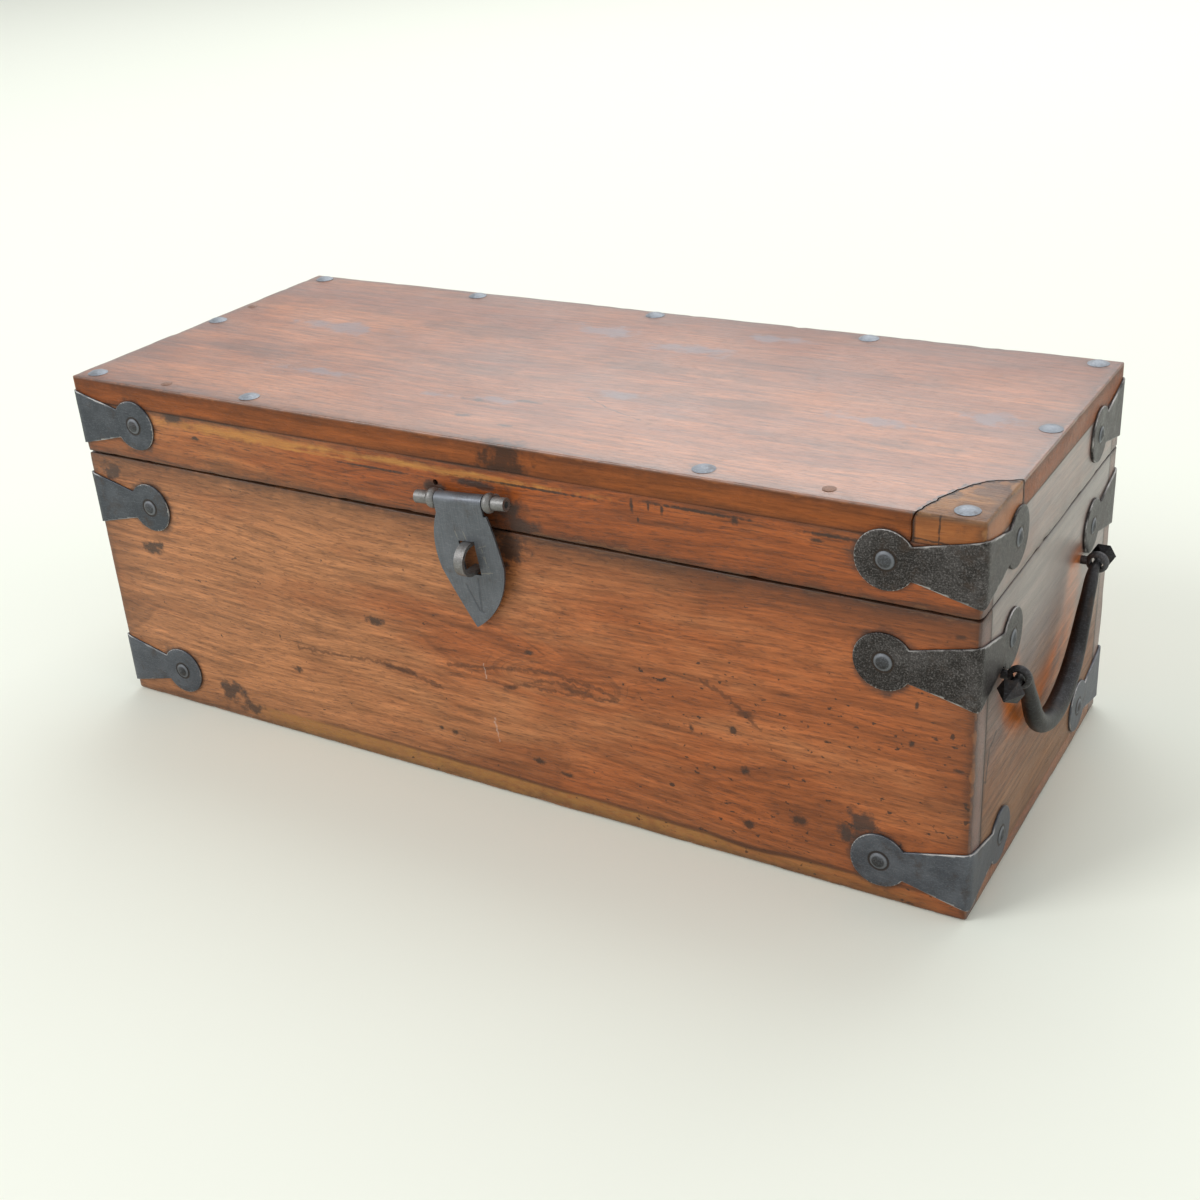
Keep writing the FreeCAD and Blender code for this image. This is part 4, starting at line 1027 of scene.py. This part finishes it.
back_rail_timber = timber("back_rail_timber", lid_block, (0, 0.3, 0.3), streaks=0.85, gloss=0.4, coat=0.1,
                          marks=plain_rail_marks)
lid_board("lid_back_rail", back_rail_timber)


def lid_end_marks(place, colour):
    """Wax bloom that is partly a painted reflection, and the joints to the top and to the rails."""
    x, y, _ = parts(place)
    wander = even_cloud(place, 40.0, detail=4.0)
    # Grey bloom on the outer face: partly real wax bloom, partly a painted reflection.
    bloom_and_sheen = times(spread(wander, 0.5, 0.8), on_outside(x))
    colour = streaked(place, mixed(bloom_and_sheen, colour, WAX_BLOOM_AND_SHEEN))
    packed = board_joint(y, times(minus(wander, 0.5), 0.008))
    return top_joint(place, mixed(times(packed, 0.8), colour, GRIME_AND_SHADE))


lid_end_timber = timber("lid_end_timber", lid_block, (0, 0.1, 0.3), along="Y", gloss=0.7, coat=0.5,
                        marks=lid_end_marks)
lid_board("lid_left_rail", lid_end_timber)
lid_board("lid_right_rail", lid_end_timber)


# ---------------------------------------------------------------------------
# Top board and its split-off corner. One wide board, waxed and wiped until it shines. Its
# front right corner has split off along the grain and is held by its own nail; the walls of
# the split are rough and dirty.

# The split's bends, each as (in from the right end, in from the front).
SPLIT_PATH = ((0.0365, 0.0), (0.0305, 0.0215), (0.024, 0.039), (0.015, 0.0495), (0.0, 0.057))
SPLIT_GAP = 0.001
SPLIT_STEP = 0.0026           # length of one splinter along the break
SPLIT_JAG = 0.0016            # how far splinters stray to the side
SPLIT_JAG_GRAIN = 260.0
SPLIT_LEAN = 0.0022           # how far the break leans from layer to layer
SPLIT_LEAN_GRAIN = 150.0
SPLIT_LAYERS = 5
SPLIT_REACH = 0.007           # how far in from the break its lean fades out
TOP_ROUND = 0.002
PAST_BOARD = 0.01


def leaning(level):
    """How far the break leans at a height, the same on both sides of it."""
    lean = noise.noise_vector(Vector((0.4, 0.7, level * SPLIT_LEAN_GRAIN))) * SPLIT_LEAN
    return Vector((lean.x, lean.y, 0))


def split_line(shift):
    """The split's bends, moved towards the corner by shift, its ends carried past the board."""
    bends = [Vector((lid_high.x - across + shift, lid_low.y + back - shift, 0))
             for across, back in SPLIT_PATH]
    before = bends[0] - Vector((0, PAST_BOARD, 0))
    after = bends[-1] + Vector((PAST_BOARD, 0, 0))
    return [before] + bends + [after]


def splintered_line(shift):
    """The split's line broken into splinters, the same on both sides of it."""
    plain = split_line(0.0)
    jagged = []
    for start, end in zip(plain, plain[1:]):
        count = max(1, round((end - start).length / SPLIT_STEP))
        jagged += [start + (end - start) * step / count for step in range(count)]
    jagged = [point + noise.noise_vector(point * SPLIT_JAG_GRAIN) * SPLIT_JAG for point in jagged]
    return [Vector((point.x + shift, point.y - shift, 0)) for point in jagged + [plain[-1]]]


def corner_side(point, line):
    """How far a point lies on the corner's side of the split, negative on the other side."""
    nearest, side = None, 0.0
    for start, end in zip(line, line[1:]):
        run = end - start
        share = max(0.0, min(1.0, (point - start).xy.dot(run.xy) / run.xy.length_squared))
        gap = (point.xy - (start + run * share).xy).length
        if nearest is None or gap < nearest - 1e-9:
            nearest = gap
            side = run.y * (point.x - start.x) - run.x * (point.y - start.y)
    return math.copysign(nearest, side)


def top_piece(node, keep_corner):
    """One side of the split top board."""
    low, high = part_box(node)
    shift = SPLIT_GAP * math.sqrt(0.5) if keep_corner else 0.0
    line = splintered_line(shift)
    mesh = bmesh.new()
    cells = [round((high[axis] - low[axis]) / BOARD_PITCH) for axis in (0, 1)]
    bmesh.ops.create_grid(mesh, x_segments=cells[0], y_segments=cells[1], size=0.5)
    size = Matrix.Diagonal((high.x - low.x, high.y - low.y, 1.0, 1.0))
    middle = Vector(((low.x + high.x) / 2, (low.y + high.y) / 2, low.z))
    bmesh.ops.transform(mesh, matrix=Matrix.Translation(middle) @ size, verts=mesh.verts)
    for start, end in zip(line, line[1:]):
        run = end - start
        centre = (start + end) / 2
        reach = run.length / 2 + BOARD_PITCH
        near = [face for face in mesh.faces if (face.calc_center_median() - centre).xy.length < reach]
        edges = dict.fromkeys(edge for face in near for edge in face.edges)
        verts = dict.fromkeys(vert for face in near for vert in face.verts)
        bmesh.ops.bisect_plane(mesh, geom=near + list(edges) + list(verts), dist=1e-6, plane_co=start,
                               plane_no=Vector((run.y, -run.x, 0)).normalized())
    wrong = [face for face in mesh.faces
             if (corner_side(face.calc_center_median(), line) > 0) != keep_corner]
    bmesh.ops.delete(mesh, geom=wrong, context="FACES")
    pulled_out(mesh, mesh.faces[:], (0, 0, high.z - low.z))
    bmesh.ops.recalc_face_normals(mesh, faces=mesh.faces[:])
    mesh.normal_update()
    rounded(mesh, arris_edges(mesh, lid_block, LID_SEAM), TOP_ROUND)
    for step in range(1, SPLIT_LAYERS):
        cut_at(mesh, (0, 0, low.z + (high.z - TOP_ROUND - low.z) * step / SPLIT_LAYERS), (0, 0, 1))
    wear(mesh, lid_block)
    for vert in mesh.verts:
        nearness = 1.0 - abs(corner_side(vert.co, line)) / SPLIT_REACH
        if nearness > 0:
            lean = leaning(vert.co.z) * nearness
            vert.co.x += lean.x * min(1.0, (high.x - vert.co.x) / SPLIT_REACH)
            vert.co.y += lean.y * min(1.0, (vert.co.y - low.y) / SPLIT_REACH)
    return mesh


CORNER_NAIL = (0.287, -0.1135)
NAIL_PLACES = ((-0.287, -0.1135), (-0.159, -0.1135), (0.148, -0.1135), CORNER_NAIL,
               (-0.287, 0.115), (-0.148, 0.115), (-0.005, 0.115), (0.146, 0.115), (0.287, 0.115),
               (-0.292, 0.004), (0.292, 0.004))
NAIL_RUST = 0.0095            # how far rust spreads from a nail's middle
SMUDGE = (0.17, 0.14, 0.16, 1)
BLACK_DIRT = (0.010, 0.008, 0.007, 1)
EDGE_WOOD = (0.31, 0.080, 0.017, 1)
FRESH_WOOD = (0.42, 0.120, 0.022, 1)
GREYED_WOOD = (0.13, 0.105, 0.095, 1)
TOP_PALE = (0.39, 0.130, 0.040, 1)
TOP_WARM = (0.22, 0.060, 0.018, 1)


def upper_face(place):
    """1 on the upper face where it is wiped most, less behind and at the left, 0 on the edges."""
    x, y, z = parts(place)
    wiped = times(rising(x, -0.32, 0.02), rising(y, 0.16, -0.08))
    wiped = scaled(wiped, 0.45, 0.55)
    return times(rising(z, lid_high.z - 0.0022, lid_high.z - 0.0008), wiped)


def rusted(place, colour, nails):
    """Rust from nails, soaked into the wood round them."""
    rust = blots(place, "XY", [(x, y, NAIL_RUST, NAIL_RUST) for x, y in nails], ragged=0.5, fineness=130.0)
    return mixed(times(rust, 0.5), colour, GRIME_AND_SHADE)


def split_dirt(place, colour):
    """Black dirt along the split, wider here and there, and packed into the mouth of the break."""
    spilled = scores(place, "XY", [split_line(SPLIT_GAP / 2)], width=0.0022, shake=0.009)
    mouth = [point + leaning(lid_high.z) for point in splintered_line(SPLIT_GAP / 2)]
    packed = scores(place, "XY", [mouth], width=0.0012, shake=0.0)
    packed = times(packed, rising(parts(place)[2], lid_high.z - 0.003, lid_high.z - 0.001))
    return mixed(larger(times(spilled, 0.95), packed), colour, BLACK_DIRT)


def top_marks(place, colour):
    """Grey smudges, dark streaks, a fine crack, a stain on the front arris, rust by the nails."""
    smudges = blots(place, "XY", (
        (-0.010, -0.064, 0.016, 0.005), (-0.049, -0.069, 0.014, 0.004), (0.052, -0.031, 0.020, 0.006),
        (-0.023, 0.074, 0.030, 0.010), (0.057, 0.059, 0.034, 0.010), (0.200, -0.018, 0.030, 0.007),
        (0.095, 0.094, 0.028, 0.008), (0.264, 0.007, 0.020, 0.010), (-0.190, 0.020, 0.040, 0.012),
        (-0.150, -0.060, 0.030, 0.007),
    ), ragged=0.8, fineness=60.0)
    colour = mixed(times(smudges, 0.7), colour, SMUDGE)
    flames = blots(place, "XY", (
        (0.120, -0.020, 0.050, 0.010), (0.190, -0.060, 0.040, 0.008), (0.240, -0.045, 0.035, 0.009),
        (0.060, 0.020, 0.060, 0.012), (-0.090, 0.050, 0.070, 0.014), (-0.220, -0.040, 0.050, 0.010),
        (-0.060, -0.020, 0.060, 0.010),
    ), ragged=0.9, fineness=36.0)
    colour = mixed(times(flames, 0.42), colour, DARK_WOOD)
    smears = blots(place, "XY", (
        (-0.022, -0.068, 0.012, 0.0025), (0.008, -0.060, 0.010, 0.0025), (0.015, -0.098, 0.008, 0.002),
        (-0.018, -0.093, 0.008, 0.003), (0.030, -0.1225, 0.018, 0.009),
    ), ragged=0.7, fineness=140.0)
    depth = applied(block_distances, {"Place": place, "Low": lid_low, "High": lid_high})["Depth"]
    below_top = rising(parts(place)[2], lid_high.z - 0.0008, lid_high.z - 0.0022)
    edge = times(below_top, rising(depth, 0.006, 0.003))
    streaks = cloud(place, (20.0, 260.0, 260.0), detail=6.0, roughness=0.75)
    colour = mixed(times(edge, 0.7), colour, shaded(EDGE_WOOD, spread(streaks, 0.35, 1.55)))
    colour = rusted(place, mixed(times(smears, 0.85), colour, GRIME_AND_SHADE), NAIL_PLACES)
    crack = scores(place, "XY", [((0.036, -0.041), (0.058, -0.054), (0.083, -0.063))], width=0.0007,
                   shake=0.003)
    return split_dirt(place, top_joint(place, mixed(times(crack, 0.8), colour, GRIME_AND_SHADE)))


def top_warmth(place):
    """The top is a little paler near its front edge."""
    return spread(parts(place)[1], -0.1, 0.15, -0.12, 0.12)


top_timber = timber("top_timber", lid_block, (0, 0.06, 0.05), pale=TOP_PALE, warm=TOP_WARM, warmth=top_warmth,
                    gloss=0.45, coat=0.85, polished=upper_face, marks=top_marks)
lid_board("lid_top_board", top_timber, top_piece("lid_top_board", keep_corner=False))


def corner_marks(place, colour):
    """Dry greyed wood on top, an old joint down the front, dirt at the nail."""
    upper = rising(parts(place)[2], 0.2265, 0.2292)
    colour = mixed(scaled(upper, -0.7, 0.7), colour, FRESH_WOOD)
    worn = blots(place, "XY", (
        (0.290, -0.085, 0.013, 0.014), (0.272, -0.098, 0.010, 0.006),
    ), ragged=0.6, fineness=90.0)
    dry = spread(even_cloud(place, 90.0, detail=4.0), 0.1, 0.4)
    colour = mixed(times(upper, larger(times(worn, 0.7), dry)), colour, GREYED_WOOD)
    joint = scores(place, "XZ", (
        ((0.2772, 0.2290), (0.2770, 0.2140)),
        ((0.2650, 0.2165), (0.2900, 0.2150)),
    ), width=0.0008, shake=0.002)
    colour = mixed(times(joint, 0.85), rusted(place, colour, [CORNER_NAIL]), GRIME_AND_SHADE)
    return split_dirt(place, top_joint(place, colour))


corner_timber = timber("corner_timber", lid_block, (0.03, 0.06, 0.05), pale=(0.50, 0.25, 0.095, 1),
                       warm=(0.40, 0.15, 0.042, 1), gloss=0.25, coat=0.05, marks=corner_marks)
lid_board("lid_split_corner", corner_timber, top_piece("lid_split_corner", keep_corner=True))


# ---------------------------------------------------------------------------
# Top nails and brads. Hand-forged nails with domed heads, wiped with the top so that their
# crowns shine and dirt sits round them.

nail_iron = iron("nail_iron", (0.10, 0.115, 0.135, 1), pale=(0.36, 0.39, 0.43, 1), bright=0.45, speckle=0.3)
given("lid_top_nails", nail_iron)
brad_iron = iron("brad_iron", (0.13, 0.060, 0.032, 1), pale=(0.30, 0.17, 0.12, 1), bright=0.4, metallic=0.3)
given("lid_top_brads", brad_iron)


# ---------------------------------------------------------------------------
# Hasp. A leaf of sheet iron rolled round its pin, filed and brushed along its length, scored
# beside its slot and creased under it by hand.

HASP_PIN_X = 0.0047
HASP_PIN_Z = 0.1959
SCRATCHED_IRON = (0.30, 0.28, 0.24, 1)


def leaf_path(*points):
    """A path on the leaf, each point given as (right of the pin's middle, below the pin)."""
    return [(HASP_PIN_X + across, HASP_PIN_Z - drop) for across, drop in points]


def leaf_marks(place, colour, height):
    """Brush marks down the leaf, two creases below the slot with painted shade along them, and scratches
    round it.
    """
    brushed = cloud(place, (1400.0, 200.0, 60.0), detail=3.0, roughness=0.6)
    colour = mixed(spread(brushed, 0.0, 0.35), colour, WORN_GREY_AND_HIGHLIGHT)
    creases_and_shade = scores(place, "XZ", (
        leaf_path((-0.0030, 0.0530), (0.0035, 0.0690)),
        leaf_path((0.0060, 0.0480), (0.0050, 0.0690)),
        leaf_path((0.0035, 0.0690), (0.0060, 0.0700)),
    ), width=0.0011, shake=0.001)
    # Painted shade along the creases, darkened towards the dark scale colour.
    colour = mixed(times(creases_and_shade, 0.45), colour, BLUE_SCALE_AND_SHADE)
    scratched = scores(place, "XZ", (
        leaf_path((-0.0045, 0.0183), (-0.0035, 0.0233)),
        leaf_path((0.0010, 0.0177), (0.0025, 0.0226)),
        leaf_path((0.0090, 0.0271), (0.0150, 0.0245)),
        leaf_path((0.0120, 0.0319), (0.0145, 0.0381)),
        leaf_path((0.0100, 0.0431), (0.0170, 0.0417)),
        leaf_path((0.0120, 0.0270), (0.0135, 0.0340)),
    ), width=0.0005, shake=0.002)
    colour = mixed(times(scratched, 0.5), colour, SCRATCHED_IRON)
    height = scaled(brushed, 0.25, height)
    return colour, scaled(creases_and_shade, -0.9, height)


leaf_iron = iron("leaf_iron", BLUE_SCALE_AND_SHADE, bright=0.36, speckle=0.12, marks=leaf_marks)
given("hasp_plate", leaf_iron)


# ---------------------------------------------------------------------------
# Hasp pin, eyes and staple. A round pin in two split-pin eyes, and the staple that the hasp
# closes over: brighter than the straps, since a hand or a lock has been at them all.

worn_steel = iron("worn_steel", (0.085, 0.083, 0.080, 1), pale=(0.34, 0.335, 0.33, 1), bright=0.42,
                  speckle=0.3)
for node in ("hasp_pin", "hasp_eye_left", "hasp_eye_right", "hasp_staple"):
    given(node, worn_steel)


# ---------------------------------------------------------------------------
# Hinges. Strap hinges with keyhole leaves on the back, of the same sheet as the corner straps,
# left dark where nobody handles them.

hinge_iron = iron("hinge_iron", BLUE_SCALE_AND_SHADE, bright=0.15, speckle=0.4)
for side in ("left", "right"):
    for part in ("hinge_lid_leaf_", "hinge_body_leaf_", "hinge_pin_"):
        given(part + side, hinge_iron)


# ---------------------------------------------------------------------------
# The studio. A plain pale floor, three soft lamps and a white surround that lights the shadows,
# with the camera in front and to the right.

def plain_paint(name, colour):
    """A matt paint."""
    material, shader = new_material(name)
    filled(shader, {"Base Color": colour, "Roughness": 0.9, "Specular IOR Level": 0.1})
    return material


floor_mesh = bmesh.new()
bmesh.ops.create_grid(floor_mesh, x_segments=1, y_segments=1, size=20.0)
floor = placed("floor", mesh_data(floor_mesh, "floor", plain_paint("floor_paint", (0.87, 0.90, 0.81, 1))))
floor.location.z = cad_box[0].z

AMBIENT = 0.62

world = bpy.data.worlds.new("surround")
bpy.context.scene.world = world
world.use_nodes = True
background = world.node_tree.nodes["Background"]
paths = shader_node("LightPath", tree=world.node_tree).outputs
seen = larger(*[paths["Is " + kind + " Ray"] for kind in ("Camera", "Glossy", "Transmission")])
filled(background, {"Strength": scaled(seen, 1.0 - AMBIENT, AMBIENT), "Color": (1, 1, 1, 1)})


def soft_lamp(name, place, target, size, power):
    """A square soft lamp aimed at a point."""
    light = bpy.data.lights.new(name, "AREA")
    light.shape = "SQUARE"
    light.size = size
    light.energy = power
    lamp = placed(name, light)
    lamp.location = place
    lamp.rotation_euler = (Vector(target) - Vector(place)).to_track_quat("-Z", "Y").to_euler()
    lamp.visible_camera = False


soft_lamp("key_lamp", (-3.2, -4.0, 3.75), (0, 0, 0.1), 2.5, 150.0)
soft_lamp("back_lamp", (-0.6, 3.3, 4.1), (0, 0, 0.2), 4.8, 124.0)
soft_lamp("side_lamp", (5.0, 2.2, 1.8), (0.2, 0, 0.1), 3.0, 30.0)

CAMERA_AZIMUTH = math.radians(32.12318)
CAMERA_ELEVATION = math.radians(26.60629)
CAMERA_ROLL = math.radians(-3.86881)
CAMERA_DISTANCE = 1.03764
CAMERA_TARGET = Vector((0.0089014, 0.0, 0.0738890))
FOCAL_PIXELS = 1596.5
FRAME_PIXELS = 1200
SENSOR = 36.0

camera_data = bpy.data.cameras.new("camera")
camera_data.sensor_width = SENSOR
camera_data.lens = FOCAL_PIXELS / FRAME_PIXELS * SENSOR
camera_data.clip_start = 0.01
camera = placed("camera", camera_data)
back = Vector((math.sin(CAMERA_AZIMUTH) * math.cos(CAMERA_ELEVATION),
               -math.cos(CAMERA_AZIMUTH) * math.cos(CAMERA_ELEVATION), math.sin(CAMERA_ELEVATION)))
level_right = (-back).cross(Vector((0, 0, 1))).normalized()
level_up = level_right.cross(-back)
right = math.cos(CAMERA_ROLL) * level_right + math.sin(CAMERA_ROLL) * level_up
up = -math.sin(CAMERA_ROLL) * level_right + math.cos(CAMERA_ROLL) * level_up
turn = Matrix((right, up, back)).transposed().to_4x4()
camera.matrix_world = Matrix.Translation(CAMERA_TARGET + back * CAMERA_DISTANCE) @ turn
bpy.context.scene.camera = camera
bpy.context.scene.view_settings.view_transform = "Standard"
